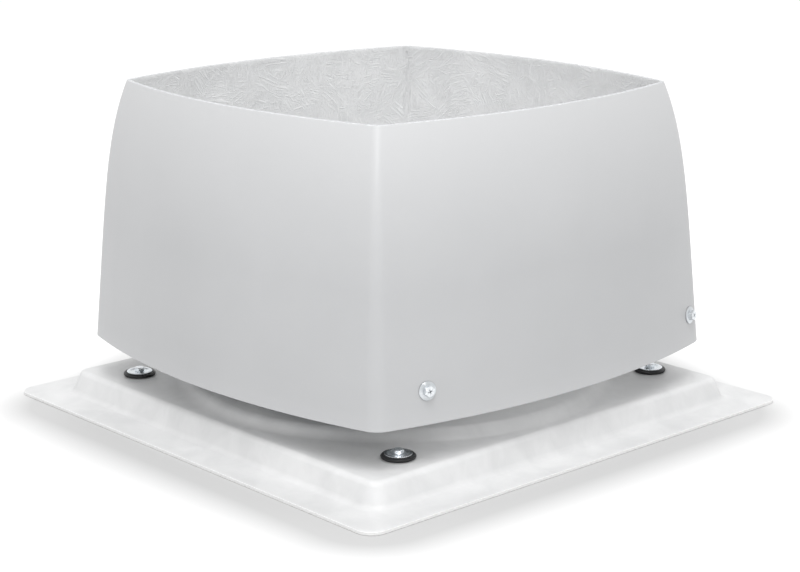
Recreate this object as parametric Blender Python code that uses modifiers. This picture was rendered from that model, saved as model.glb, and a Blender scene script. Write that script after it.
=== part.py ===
"""Roof exhaust fan: a moulded base, a wind hood and a centrifugal fan on a steel frame.

The -Y side is the front and +X the right. The origin is the middle of the flange's underside.
The steel frame (bolts, posts, carrier, motor) is turned a few degrees on the base.
"""
import math

import bmesh
import bpy
from mathutils import Matrix, Vector

# Clearances between neighbouring pieces
GAP = 0.0003
SLIDE = 0.00015
BORE_CLEARANCE = 0.0005
WALL_FIT = 0.0006

# Base moulding
FLANGE_HALF = 0.300
FLANGE_CORNER = 0.018
SKIN = 0.003
PLATFORM_TOP_HALF = 0.2520
PLATFORM_DRAFT = 0.0095
PLATFORM_HEIGHT = 0.0275
PLATFORM_CORNER = 0.012
PLATFORM_FILLET = 0.005
BOSS_INSET = 0.016
BOSS_DRAFT = 0.011
BOSS_HEIGHT = 0.009
BOSS_FILLET = 0.004
COLLAR_MARGIN = 0.0185
COLLAR_HEIGHT = 0.0095
COLLAR_FILLET = 0.004

# Hood
HOOD_BOTTOM = 0.0695
HOOD_TOP = 0.354
HOOD_BOTTOM_HALF = 0.2365
HOOD_TOP_HALF = 0.2040
HOOD_TAPER = 0.020
HOOD_CURL = 5.5
HOOD_BOTTOM_BOW = 0.034
HOOD_TOP_BOW = 0.030
HOOD_CORNER = 0.012
HOOD_WALL = 0.0035

# Steel frame: everything on it shares one turn about Z
FRAME_TURN = math.radians(3.7)
MOUNT_INSET = 0.052
POST_INSET = 0.025
SHEET = 0.003
SUPPORT_MARGIN = 0.022
SUPPORT_CORNER = 0.020
ARM_SETBACK = 0.0177
ARM_WIDTH = 0.046
ARM_OFFSET = 0.007
CARRIER_MARGIN = 0.020
CARRIER_FILLET = 0.012
CARRIER_TOP = 0.123
CARRIER_LIP = 0.015
CARRIER_BORE = 0.030
SCREW_INSET = 0.0372
SCREW_DROP = 0.0205

# Rubber grommets, dished washers and fasteners
GROMMET_RADIUS = 0.0175
GROMMET_LOW_RADIUS = 0.0150
GROMMET_NECK = 0.0090
GROMMET_RISE = 0.0030
GROMMET_EDGE = 0.0010
WASHER_RADIUS = 0.0140
WASHER_FLAT = 0.0090
WASHER_SHEET = 0.0010
WASHER_DISH = 0.0006
M6_SHANK = 0.0030
M6_HEAD_FLATS = 0.010
M6_HEAD = 0.0042
M6_NUT = 0.0050
BOLT_PROUD = 0.0015
SCREW_FACE_RADIUS = 0.0093
SCREW_FACE = 0.0016
SCREW_LENGTH = 0.018
POST_RADIUS = 0.008
POST_STUD = 0.005
POST_NUT_FLATS = 0.017
POST_NUT = 0.008
POST_HOLE_RADIUS = 0.012

# Hood brackets
BRACKET_WIDTH = 0.032
BRACKET_REACH = 0.068
BRACKET_BOLT = 0.050
BRACKET_DROP = 0.038
BRACKET_BOSS = 0.006
BRACKET_BOSS_LENGTH = 0.005

# Inlet nozzle and impeller
NOZZLE_SHEET = 0.002
NOZZLE_FLANGE_WIDTH = 0.0225
NOZZLE_BEND = 0.020
NOZZLE_THROAT = 0.0855
NOZZLE_TOP = 0.056
SHROUD_SHEET = 0.0015
SHROUD_BOTTOM = 0.050
SHROUD_CLEARANCE = 0.0025
SHROUD_BEND = 0.058
SHROUD_ROUND = 0.008
WHEEL_RADIUS = 0.150
SHROUD_RIM = 0.070
WHEEL_PLATE = 0.002
WHEEL_DROP = 0.010
BLADES = 7
BLADE_SHEET = 0.002
BLADE_FIT = 0.0004
BLADE_SETBACK = 0.010
BLADE_TIP_INSET = 0.004
BLADE_SWEEP = math.radians(42.0)
HUB_FLANGE = 0.034
HUB_RADIUS = 0.016
HUB_SHEET = 0.003
HUB_LENGTH = 0.018

# Motor
SHAFT_RADIUS = 0.007
SHAFT_CLEARANCE = 0.0010
MOTOR_FLANGE = 0.070
MOTOR_FLANGE_THICK = 0.008
MOTOR_SPIGOT = 0.050
MOTOR_SHIELD = 0.012
HOUSING_LENGTH = 0.074
HOUSING_CORE = 0.052
HOUSING_BORE = 0.0465
FIN_RADIUS = 0.060
FIN_SHEET = 0.0024
FINS = 26
FIN_MARGIN = math.radians(3.0)
PAD_HALF = 0.024
PAD_REACH = 0.061
END_SHIELD = 0.013
BEARING_RADIUS = 0.016
BEARING_WIDTH = 0.010
STATOR_LENGTH = 0.048
ROTOR_RADIUS = 0.0290
AIR_GAP = 0.0006
COWL_SHEET = 0.0015
COWL_HEIGHT = 0.043
COWL_LAP = 0.009
COWL_ROUND = 0.010
COWL_SLOTS = 10
COWL_SLOT = 0.005
COWL_SLOT_INNER = 0.018
COWL_SLOT_OUTER = 0.044
COOLING_FAN_RADIUS = 0.049
COOLING_FAN_WIDTH = 0.018
COOLING_BLADES = 7
COOLING_HUB = 0.013
COOLING_SHEET = 0.0015
COOLING_LIFT = 0.003
BOX_WIDTH = 0.056
BOX_HEIGHT = 0.062
BOX_DEPTH = 0.028
BOX_WALL = 0.0025
LID_THICK = 0.004
GLAND_RADIUS = 0.008
GLAND_THREAD = 0.006
GLAND_BORE = 0.004
GLAND_LENGTH = 0.018

# Mesh fineness
SIDE_STEPS = 12
CORNER_STEPS = 3
BEND_STEPS = 4
BLADE_STEPS = 6
HOOD_RINGS = 9
BIG_STEPS = 48
MID_STEPS = 32
SMALL_STEPS = 14
SHARP_ANGLE = math.radians(35.0)
WELD = 0.00001
OVERRUN = 0.002
LEAN_STEP = 0.001
PLACE_ROUNDS = 6
FULL_TURN = 2 * math.pi
QUARTER_TURN = math.pi / 2

CORNERS = {
    "front_right": (1, -1),
    "front_left": (-1, -1),
    "rear_right": (1, 1),
    "rear_left": (-1, 1),
}


def hood_share(height):
    """How far up the hood a height lies, from 0 to 1."""
    return (height - HOOD_BOTTOM) / (HOOD_TOP - HOOD_BOTTOM)


def hood_half(height):
    """Half the distance between the hood's corners, measured along one side."""
    share = hood_share(height)
    curl = HOOD_BOTTOM_HALF - HOOD_TOP_HALF - HOOD_TAPER
    return HOOD_BOTTOM_HALF - HOOD_TAPER * share - curl * share ** HOOD_CURL


# Sizes across that follow from the ones above
PLATFORM_FOOT_HALF = PLATFORM_TOP_HALF + PLATFORM_DRAFT
BOSS_FOOT_RADIUS = PLATFORM_TOP_HALF - BOSS_INSET
BOSS_TOP_RADIUS = BOSS_FOOT_RADIUS - BOSS_DRAFT
NOZZLE_MOUTH = NOZZLE_THROAT + NOZZLE_BEND
NOZZLE_FLANGE = NOZZLE_MOUTH + NOZZLE_FLANGE_WIDTH
COLLAR_RADIUS = NOZZLE_MOUTH + COLLAR_MARGIN
SHROUD_THROAT = NOZZLE_THROAT + SHROUD_CLEARANCE
MOUNT_HALF = PLATFORM_TOP_HALF - MOUNT_INSET
SUPPORT_HALF = MOUNT_HALF + SUPPORT_MARGIN
POST_HALF = WHEEL_RADIUS - POST_INSET
CARRIER_HALF = POST_HALF + CARRIER_MARGIN
SCREW_HEIGHT = CARRIER_TOP - SCREW_DROP
SCREW_HALF = hood_half(SCREW_HEIGHT) - SCREW_INSET
ARM_LENGTH = hood_half(CARRIER_TOP) - ARM_SETBACK
ARM_INNER = SCREW_HALF - ARM_OFFSET - ARM_WIDTH / 2
ARM_OUTER = SCREW_HALF - ARM_OFFSET + ARM_WIDTH / 2

# Heights that follow from the sizes above
BOSS_TOP = PLATFORM_HEIGHT + BOSS_HEIGHT
SUPPORT_TOP = PLATFORM_HEIGHT - SKIN - GAP - GROMMET_RISE - GAP
CARRIER_UNDER = CARRIER_TOP - SHEET
WHEEL_TOP = CARRIER_UNDER - WHEEL_DROP
MOTOR_BOTTOM = CARRIER_TOP + GAP
SHIELD_TOP = MOTOR_BOTTOM + MOTOR_FLANGE_THICK + MOTOR_SHIELD
HOUSING_BOTTOM = SHIELD_TOP + GAP
HOUSING_TOP = HOUSING_BOTTOM + HOUSING_LENGTH
END_BOTTOM = HOUSING_TOP + GAP
END_TOP = END_BOTTOM + END_SHIELD
COWL_BOTTOM = END_TOP - COWL_LAP
COWL_TOP = COWL_BOTTOM + COWL_HEIGHT
COOLING_FAN_BOTTOM = END_TOP + COOLING_LIFT


def clear_scene():
    for item in list(bpy.data.objects):
        bpy.data.objects.remove(item, do_unlink=True)


def make_collection(name):
    collection = bpy.data.collections.new(name)
    bpy.context.scene.collection.children.link(collection)
    return collection


def make_material(name, colour, roughness, metallic):
    material = bpy.data.materials.new(name)
    material.use_nodes = True
    shader = material.node_tree.nodes["Principled BSDF"]
    shader.inputs["Base Color"].default_value = (*colour, 1.0)
    shader.inputs["Roughness"].default_value = roughness
    shader.inputs["Metallic"].default_value = metallic
    return material


clear_scene()
PARTS = make_collection("exhaust_hood_fan")
CUTTERS = make_collection("cutters")
MATERIALS = {
    "grp_white": make_material("grp_white", (0.78, 0.79, 0.80), 0.45, 0.0),
    "grp_grey": make_material("grp_grey", (0.56, 0.57, 0.59), 0.40, 0.0),
    "rubber": make_material("rubber", (0.02, 0.02, 0.02), 0.75, 0.0),
    "zinc": make_material("zinc", (0.72, 0.75, 0.78), 0.25, 1.0),
    "galvanised": make_material("galvanised", (0.55, 0.57, 0.58), 0.45, 1.0),
    "aluminium": make_material("aluminium", (0.62, 0.63, 0.64), 0.50, 1.0),
    "motor_paint": make_material("motor_paint", (0.10, 0.12, 0.14), 0.45, 0.0),
    "steel": make_material("steel", (0.50, 0.50, 0.52), 0.30, 1.0),
    "copper": make_material("copper", (0.60, 0.30, 0.15), 0.40, 1.0),
    "plastic": make_material("plastic", (0.05, 0.05, 0.06), 0.50, 0.0),
}


def frame_empty():
    """Parent of all that is turned with the steel frame."""
    empty = bpy.data.objects.new("frame_axis", None)
    empty.rotation_euler.z = FRAME_TURN
    PARTS.objects.link(empty)
    return empty


FRAME = frame_empty()


def place(name, mesh, material, matrix=Matrix(), parent=None):
    """Give a mesh its material and put it in the scene as one named part."""
    if not mesh.materials:
        mesh.materials.append(MATERIALS[material])
    mesh.shade_smooth()
    mesh.set_sharp_from_angle(angle=SHARP_ANGLE)
    part = bpy.data.objects.new(name, mesh)
    PARTS.objects.link(part)
    part.parent = parent
    part.matrix_local = matrix
    return part


def draft(mesh):
    """A working object in the cutters' collection."""
    item = bpy.data.objects.new("draft", mesh)
    CUTTERS.objects.link(item)
    item.hide_render = True
    item.display_type = "WIRE"
    return item


def bake(item):
    """The object's evaluated mesh, welded; the object itself goes."""
    view = bpy.context.view_layer
    view.update()
    mesh = bpy.data.meshes.new_from_object(item.evaluated_get(view.depsgraph))
    mesh.transform(item.matrix_world)
    bm = bmesh.new()
    bm.from_mesh(mesh)
    bmesh.ops.remove_doubles(bm, verts=bm.verts, dist=WELD)
    bm.to_mesh(mesh)
    bm.free()
    bpy.data.objects.remove(item, do_unlink=True)
    return mesh


def mesh_from(bm):
    mesh = bpy.data.meshes.new("shape")
    bm.to_mesh(mesh)
    bm.free()
    return mesh


def shift(x=0.0, y=0.0, z=0.0):
    return Matrix.Translation((x, y, z))


def turned(profile, steps=MID_STEPS, ring=False):
    """Turn (radius, height) points about Z; they run down the outer side first."""
    bm = bmesh.new()
    verts = [bm.verts.new((radius, 0.0, height)) for radius, height in profile]
    for start, end in zip(verts, verts[1:]):
        bm.edges.new((start, end))
    if ring:
        bm.edges.new((verts[-1], verts[0]))
    item = draft(mesh_from(bm))
    screw = item.modifiers.new("Turn", "SCREW")
    screw.steps = steps
    screw.render_steps = steps
    screw.use_merge_vertices = True
    screw.merge_threshold = WELD
    return bake(item)


def rod(radius, bottom, top, steps=SMALL_STEPS):
    """A plain round bar along Z."""
    return prism(radius, bottom, top, steps)


def prism(radius, bottom, top, sides):
    bm = bmesh.new()
    middle = shift(z=(bottom + top) / 2)
    bmesh.ops.create_cone(bm, cap_ends=True, segments=sides, radius1=radius, radius2=radius,
                          depth=top - bottom, matrix=middle)
    return mesh_from(bm)


def hexagon(flats, bottom, top):
    return prism(flats / math.sqrt(3.0), bottom, top, 6)


def block(low, high):
    """A box between two corners."""
    low = Vector(low)
    high = Vector(high)
    bm = bmesh.new()
    size = Matrix.Diagonal((*(high - low), 1.0))
    bmesh.ops.create_cube(bm, size=1.0, matrix=Matrix.Translation((low + high) / 2) @ size)
    return mesh_from(bm)


def combined(mesh, others, operation):
    """Join or cut a mesh with others, each given as a mesh or a (mesh, matrix) pair."""
    item = draft(mesh)
    tools = []
    for other in others:
        shape, matrix = other if isinstance(other, tuple) else (other, Matrix())
        tool = draft(shape)
        tool.matrix_world = matrix
        tools.append(tool)
        boolean = item.modifiers.new("Shape", "BOOLEAN")
        boolean.operation = operation
        boolean.object = tool
    result = bake(item)
    for tool in tools:
        bpy.data.objects.remove(tool, do_unlink=True)
    return result


def plate(outline, bottom, top):
    """A flat sheet with a given outline of (x, y) points."""
    bm = bmesh.new()
    face = bm.faces.new([bm.verts.new((x, y, bottom)) for x, y in outline])
    grown = bmesh.ops.extrude_face_region(bm, geom=[face])["geom"]
    verts = [item for item in grown if isinstance(item, bmesh.types.BMVert)]
    bmesh.ops.translate(bm, verts=verts, vec=(0.0, 0.0, top - bottom))
    bmesh.ops.recalc_face_normals(bm, faces=bm.faces)
    return mesh_from(bm)


def drilled(mesh, holes, bottom, top):
    """Cut round holes of (radius, x, y, steps) through everything between two heights."""
    drills = [(rod(radius, bottom, top, steps), shift(x, y)) for radius, x, y, steps in holes]
    return combined(mesh, drills, "DIFFERENCE")


def arc(centre, radius, start, end, steps):
    """Points on an arc, both ends included."""
    points = []
    for step in range(steps + 1):
        angle = start + (end - start) * step / steps
        points.append((centre[0] + radius * math.cos(angle), centre[1] + radius * math.sin(angle)))
    return points


def corner_arc(before, here, after, radius, steps):
    """The points that round one corner of an outline."""
    to_before = (before - here).normalized()
    to_after = (after - here).normalized()
    half = to_before.angle(to_after) / 2
    centre = here + (to_before + to_after).normalized() * radius / math.sin(half)
    start = here + to_before * radius / math.tan(half) - centre
    end = here + to_after * radius / math.tan(half) - centre
    return [centre + start.lerp(end, step / steps).normalized() * radius for step in range(steps + 1)]


def rounded(corners, radius, steps=CORNER_STEPS):
    """A closed outline with every corner rounded."""
    points = [Vector(corner) for corner in corners]
    result = []
    for index, here in enumerate(points):
        after = points[(index + 1) % len(points)]
        result.extend(corner_arc(points[index - 1], here, after, radius, steps))
    return result


def softened(corners, steps=1):
    """An open profile of (distance, height, rounding) corners; the ends stay sharp."""
    points = [Vector(corner[:2]) for corner in corners]
    result = [points[0]]
    for index in range(1, len(points) - 1):
        radius = corners[index][2]
        if radius:
            result.extend(corner_arc(points[index - 1], points[index], points[index + 1], radius, steps))
        else:
            result.append(points[index])
    return [*result, points[-1]]


def square_ring(half, corner, height):
    """A rounded square, its points numbered alike for every size."""
    points = []
    flat = half - corner
    for quarter in range(4):
        turn = Matrix.Rotation(quarter * QUARTER_TURN, 3, "Z")
        for step in range(SIDE_STEPS):
            points.append(turn @ Vector((half, flat * (2 * step / SIDE_STEPS - 1), height)))
        for x, y in arc((flat, flat), corner, 0.0, QUARTER_TURN, CORNER_STEPS)[:-1]:
            points.append(turn @ Vector((x, y, height)))
    return points


def round_ring(radius, height):
    """A circle with its points in the directions of the platform's outline."""
    guide = square_ring(PLATFORM_TOP_HALF, PLATFORM_CORNER, 0.0)
    return [point.normalized() * radius + Vector((0.0, 0.0, height)) for point in guide]


def lofted(rings):
    """One open surface through rings that have the same number of points."""
    bm = bmesh.new()
    loops = [[bm.verts.new(point) for point in ring] for ring in rings]
    for lower, upper in zip(loops, loops[1:]):
        for index in range(len(lower)):
            bm.faces.new((lower[index - 1], lower[index], upper[index], upper[index - 1]))
    return mesh_from(bm)


def thickened(mesh, thickness):
    """Give an open surface a wall on its inner side."""
    item = draft(mesh)
    wall = item.modifiers.new("Wall", "SOLIDIFY")
    wall.thickness = thickness
    wall.offset = -1.0
    wall.use_even_offset = True
    return bake(item)


# ---- places shared by several pieces ----

def hood_section(height):
    """Corner half-distance, bow and bow radius of the hood at a height."""
    half = hood_half(height)
    bow = HOOD_BOTTOM_BOW + (HOOD_TOP_BOW - HOOD_BOTTOM_BOW) * hood_share(height)
    return half, bow, (half * half + bow * bow) / (2 * bow)


def hood_reach(height, across):
    """Distance from the middle to the hood's outside, at a place across one side."""
    half, bow, radius = hood_section(height)
    return half + bow - radius + math.sqrt(radius * radius - across * across)


def hood_lean():
    """Angle by which the hood's wall leans in at the height of its screws."""
    low = hood_reach(SCREW_HEIGHT - LEAN_STEP, SCREW_HALF)
    high = hood_reach(SCREW_HEIGHT + LEAN_STEP, SCREW_HALF)
    return math.atan2(low - high, 2 * LEAN_STEP)


def hood_ring(height):
    """The hood's outline: four bowed sides and four small round corners."""
    half, bow, radius = hood_section(height)
    offset = half + bow - radius
    inner = radius - HOOD_CORNER
    diagonal = (offset + math.sqrt(2 * inner * inner - offset * offset)) / 2
    spread = math.atan2(diagonal, diagonal - offset)
    outline = arc((offset, 0.0), radius, -spread, spread, SIDE_STEPS)
    outline += arc((diagonal, diagonal), HOOD_CORNER, spread, QUARTER_TURN - spread, CORNER_STEPS)[1:-1]
    points = []
    for quarter in range(4):
        turn = Matrix.Rotation(quarter * QUARTER_TURN, 3, "Z")
        points.extend(turn @ Vector((x, y, height)) for x, y in outline)
    return points


def screw_place(right, rear):
    """Where a hood screw meets the outside of the wall, with the axes of that spot.

    The local X axis points out of the wall and Z points up.
    """
    y = rear * SCREW_HALF
    for _ in range(PLACE_ROUNDS):
        x = right * hood_reach(SCREW_HEIGHT, y)
        y = (rear * SCREW_HALF + math.sin(FRAME_TURN) * x) / math.cos(FRAME_TURN)
    facing = math.asin(right * y / hood_section(SCREW_HEIGHT)[2])
    if right < 0:
        facing += math.pi
    return Matrix.Translation((x, y, SCREW_HEIGHT)) @ Matrix.Rotation(facing, 4, "Z")


def bracket_bolt_place(right, rear):
    """Where a bracket's bolt stands, in the frame's own axes."""
    spot = screw_place(right, rear) @ Vector((-BRACKET_BOLT, 0.0, 0.0))
    return Matrix.Rotation(-FRAME_TURN, 4, "Z") @ spot


def frame_corner(half, right, rear, height=0.0):
    return shift(right * half, rear * half, height)


# ---- base and hood ----

def base_plate():
    """Flange, platform, round boss and rain collar in one moulded skin."""
    square = softened([
        (FLANGE_HALF, SKIN, 0.0),
        (PLATFORM_FOOT_HALF, SKIN, PLATFORM_FILLET),
        (PLATFORM_TOP_HALF, PLATFORM_HEIGHT, PLATFORM_FILLET),
        (BOSS_FOOT_RADIUS, PLATFORM_HEIGHT, 0.0),
    ], steps=2)[:-1]
    circular = softened([
        (PLATFORM_TOP_HALF, PLATFORM_HEIGHT, 0.0),
        (BOSS_FOOT_RADIUS, PLATFORM_HEIGHT, BOSS_FILLET),
        (BOSS_TOP_RADIUS, BOSS_TOP, BOSS_FILLET),
        (COLLAR_RADIUS, BOSS_TOP, COLLAR_FILLET),
        (COLLAR_RADIUS, BOSS_TOP + COLLAR_HEIGHT, 0.0),
    ])[1:]
    rings = [square_ring(FLANGE_HALF, FLANGE_CORNER, SKIN)]
    for half, height in square[1:]:
        rings.append(square_ring(half, PLATFORM_CORNER + half - PLATFORM_TOP_HALF, height))
    rings.extend(round_ring(radius, height) for radius, height in circular)
    shell = thickened(lofted(rings), SKIN)
    turn = Matrix.Rotation(FRAME_TURN, 4, "Z")
    holes = []
    for right, rear in CORNERS.values():
        bolt_hole = rod(GROMMET_NECK + GAP, 0.0, BOSS_TOP)
        post_hole = rod(POST_HOLE_RADIUS, 0.0, BOSS_TOP + OVERRUN)
        holes.append((bolt_hole, turn @ frame_corner(MOUNT_HALF, right, rear)))
        holes.append((post_hole, turn @ frame_corner(POST_HALF, right, rear)))
    place("base_plate", combined(shell, holes, "DIFFERENCE"), "grp_white")


def hood():
    """The open wind band, with a hole for each of its screws."""
    span = HOOD_TOP - HOOD_BOTTOM
    heights = []
    for ring in range(HOOD_RINGS):
        share = ring / (HOOD_RINGS - 1)
        heights.append(HOOD_BOTTOM + span * math.sin(share * QUARTER_TURN))
    shell = thickened(lofted([hood_ring(height) for height in heights]), HOOD_WALL)
    wall_axis = Matrix.Rotation(QUARTER_TURN - hood_lean(), 4, "Y")
    reach = HOOD_WALL + OVERRUN
    holes = []
    for right, rear in CORNERS.values():
        hole = rod(M6_SHANK + BORE_CLEARANCE, -reach, reach)
        holes.append((hole, screw_place(right, rear) @ wall_axis))
    place("hood", combined(shell, holes, "DIFFERENCE"), "grp_grey")


# ---- steel frame ----

def support_frame():
    """The plate under the platform that the four bolts carry."""
    half = SUPPORT_HALF
    outline = rounded([(-half, -half), (half, -half), (half, half), (-half, half)], SUPPORT_CORNER)
    holes = [(NOZZLE_MOUTH, 0.0, 0.0, BIG_STEPS)]
    for right, rear in CORNERS.values():
        holes.append((M6_SHANK + BORE_CLEARANCE, right * MOUNT_HALF, rear * MOUNT_HALF, SMALL_STEPS))
        holes.append((POST_STUD + GAP, right * POST_HALF, rear * POST_HALF, SMALL_STEPS))
    sheet = plate(outline, SUPPORT_TOP - SHEET, SUPPORT_TOP)
    sheet = drilled(sheet, holes, 0.0, SUPPORT_TOP + OVERRUN)
    place("support_frame", sheet, "galvanised", parent=FRAME)


def mounts():
    """At each corner a grommet, a dished washer, a bolt and its nut."""
    upper = PLATFORM_HEIGHT + GAP
    lower = PLATFORM_HEIGHT - SKIN - GAP
    bore = M6_SHANK + BORE_CLEARANCE
    grommet = turned([
        (GROMMET_RADIUS - GROMMET_EDGE, upper + GROMMET_RISE),
        (GROMMET_RADIUS, upper + GROMMET_RISE - GROMMET_EDGE),
        (GROMMET_RADIUS, upper),
        (GROMMET_NECK, upper),
        (GROMMET_NECK, lower),
        (GROMMET_LOW_RADIUS, lower),
        (GROMMET_LOW_RADIUS, lower - GROMMET_RISE),
        (bore, lower - GROMMET_RISE),
        (bore, upper + GROMMET_RISE),
    ], SMALL_STEPS, ring=True)
    seat = upper + GROMMET_RISE + GAP
    washer = turned([
        (WASHER_RADIUS, seat + WASHER_SHEET + WASHER_DISH),
        (WASHER_RADIUS, seat + WASHER_DISH),
        (WASHER_FLAT, seat),
        (bore, seat),
        (bore, seat + WASHER_SHEET),
        (WASHER_FLAT, seat + WASHER_SHEET),
    ], SMALL_STEPS, ring=True)
    head = seat + WASHER_SHEET + GAP
    nut_top = SUPPORT_TOP - SHEET - GAP
    bolt = hex_bolt(head, nut_top - M6_NUT - BOLT_PROUD)
    nut = combined(hexagon(M6_HEAD_FLATS, nut_top - M6_NUT, nut_top),
                   [rod(M6_SHANK + SLIDE, 0.0, nut_top + OVERRUN)], "DIFFERENCE")
    for corner, (right, rear) in CORNERS.items():
        spot = frame_corner(MOUNT_HALF, right, rear)
        place(f"mount_grommet_{corner}", grommet, "rubber", spot, FRAME)
        place(f"mount_washer_{corner}", washer, "zinc", spot, FRAME)
        place(f"mount_bolt_{corner}", bolt, "zinc", spot, FRAME)
        place(f"mount_nut_{corner}", nut, "zinc", spot, FRAME)


def hex_bolt(seat, tip):
    """An M6 bolt whose head stands on a seat and whose shank runs down to its tip."""
    head = hexagon(M6_HEAD_FLATS, seat, seat + M6_HEAD)
    return combined(head, [rod(M6_SHANK, tip, seat + M6_HEAD / 2)], "UNION")


def posts():
    """Four posts from the support frame up to the carrier, each with its nut."""
    nut_bottom = CARRIER_TOP + GAP
    post = turned([
        (0.0, nut_bottom + POST_NUT + BOLT_PROUD),
        (POST_STUD, nut_bottom + POST_NUT + BOLT_PROUD),
        (POST_STUD, CARRIER_UNDER - GAP),
        (POST_RADIUS, CARRIER_UNDER - GAP),
        (POST_RADIUS, SUPPORT_TOP + GAP),
        (POST_STUD, SUPPORT_TOP + GAP),
        (POST_STUD, SUPPORT_TOP - SHEET),
        (0.0, SUPPORT_TOP - SHEET),
    ], SMALL_STEPS)
    nut = combined(hexagon(POST_NUT_FLATS, nut_bottom, nut_bottom + POST_NUT),
                   [rod(POST_STUD + SLIDE, 0.0, nut_bottom + POST_NUT + OVERRUN)], "DIFFERENCE")
    for corner, (right, rear) in CORNERS.items():
        spot = frame_corner(POST_HALF, right, rear)
        place(f"post_{corner}", post, "galvanised", spot, FRAME)
        place(f"post_nut_{corner}", nut, "zinc", spot, FRAME)


def carrier_plate():
    """The motor's sheet, with four arms towards the hood, lips and press nuts."""
    outline = rounded([
        (-ARM_LENGTH, -ARM_OUTER), (ARM_LENGTH, -ARM_OUTER), (ARM_LENGTH, -ARM_INNER),
        (CARRIER_HALF, -ARM_INNER), (CARRIER_HALF, ARM_INNER), (ARM_LENGTH, ARM_INNER),
        (ARM_LENGTH, ARM_OUTER), (-ARM_LENGTH, ARM_OUTER), (-ARM_LENGTH, ARM_INNER),
        (-CARRIER_HALF, ARM_INNER), (-CARRIER_HALF, -ARM_INNER), (-ARM_LENGTH, -ARM_INNER),
    ], CARRIER_FILLET)
    holes = [(CARRIER_BORE, 0.0, 0.0, MID_STEPS)]
    additions = []
    for right, rear in CORNERS.values():
        spot = bracket_bolt_place(right, rear)
        holes.append((POST_STUD + GAP, right * POST_HALF, rear * POST_HALF, SMALL_STEPS))
        holes.append((M6_SHANK + SLIDE, spot.x, spot.y, SMALL_STEPS))
        nut = hexagon(M6_HEAD_FLATS, CARRIER_UNDER - M6_NUT, CARRIER_TOP - SHEET / 2)
        additions.append((nut, shift(spot.x, spot.y)))
    lip_half = ARM_LENGTH - CARRIER_FILLET
    for rear in (-1, 1):
        edges = sorted((rear * ARM_OUTER, rear * (ARM_OUTER - SHEET)))
        lip = block((-lip_half, edges[0], CARRIER_UNDER - CARRIER_LIP),
                    (lip_half, edges[1], CARRIER_TOP - SHEET / 2))
        additions.append(lip)
    sheet = combined(plate(outline, CARRIER_UNDER, CARRIER_TOP), additions, "UNION")
    sheet = drilled(sheet, holes, CARRIER_UNDER - CARRIER_LIP, CARRIER_TOP + OVERRUN)
    place("carrier_plate", sheet, "galvanised", parent=FRAME)


def hood_brackets():
    """Angle brackets from the carrier's arms to the hood, with their bolts and screws."""
    lean = hood_lean()
    under = CARRIER_TOP + GAP - SCREW_HEIGHT
    top = under + SHEET
    bottom = top - BRACKET_DROP

    def face(height):
        return -HOOD_WALL - WALL_FIT - height * math.tan(lean)

    outline = [(face(top), top), (face(bottom), bottom), (face(bottom) - SHEET, bottom),
               (face(under) - SHEET, under), (-BRACKET_REACH, under), (-BRACKET_REACH, top)]
    sheet = plate(outline, -BRACKET_WIDTH / 2, BRACKET_WIDTH / 2)
    sheet.transform(Matrix.Rotation(QUARTER_TURN, 4, "X"))
    wall_axis = Matrix.Rotation(QUARTER_TURN - lean, 4, "Y")
    inside = -HOOD_WALL - WALL_FIT - SHEET
    boss = rod(BRACKET_BOSS, inside - BRACKET_BOSS_LENGTH, inside + SHEET / 2)
    solid = combined(sheet, [(boss, wall_axis)], "UNION")
    screw_bore = rod(M6_SHANK + SLIDE, inside - BRACKET_BOSS_LENGTH - OVERRUN, 0.0)
    bolt_bore = rod(M6_SHANK + BORE_CLEARANCE, under - OVERRUN, top + OVERRUN)
    bracket = combined(solid, [(screw_bore, wall_axis), (bolt_bore, shift(-BRACKET_BOLT))], "DIFFERENCE")
    head_bottom = CARRIER_TOP + GAP + SHEET + GAP
    bolt = hex_bolt(head_bottom, CARRIER_UNDER - M6_NUT - BOLT_PROUD)
    screw = hood_screw()
    for corner, (right, rear) in CORNERS.items():
        spot = screw_place(right, rear)
        bolt_spot = bracket_bolt_place(right, rear)
        place(f"hood_bracket_{corner}", bracket, "galvanised", spot)
        place(f"hood_screw_{corner}", screw, "zinc", spot @ wall_axis)
        place(f"bracket_bolt_{corner}", bolt, "zinc", shift(bolt_spot.x, bolt_spot.y), FRAME)


def hood_screw():
    """A washer-faced hexagon screw along Z, its face on the wall at Z = 0."""
    face = rod(SCREW_FACE_RADIUS, GAP, GAP + SCREW_FACE)
    hexagonal = hexagon(M6_HEAD_FLATS, GAP + SCREW_FACE / 2, GAP + SCREW_FACE + M6_HEAD)
    shank = rod(M6_SHANK, -SCREW_LENGTH, GAP + SCREW_FACE / 2)
    return combined(face, [hexagonal, shank], "UNION")


# ---- air path ----

def inlet_nozzle():
    """A spun bellmouth that stands on the support frame."""
    seat = SUPPORT_TOP + GAP
    middle = (NOZZLE_MOUTH, seat + NOZZLE_SHEET + NOZZLE_BEND)
    outside = arc(middle, NOZZLE_BEND, math.pi, math.pi + QUARTER_TURN, BEND_STEPS)
    inside = arc(middle, NOZZLE_BEND + NOZZLE_SHEET, math.pi + QUARTER_TURN, math.pi, BEND_STEPS)
    profile = [(NOZZLE_THROAT, NOZZLE_TOP), *outside, (NOZZLE_FLANGE, seat + NOZZLE_SHEET),
               (NOZZLE_FLANGE, seat), *inside, (NOZZLE_THROAT - NOZZLE_SHEET, NOZZLE_TOP)]
    place("inlet_nozzle", turned(profile, BIG_STEPS, ring=True), "galvanised", parent=FRAME)


def shroud_height(radius):
    """Height of the shroud's upper face."""
    share = (radius - SHROUD_THROAT) / (WHEEL_RADIUS - SHROUD_THROAT)
    return SHROUD_BEND + (SHROUD_RIM - SHROUD_BEND) * share


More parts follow.
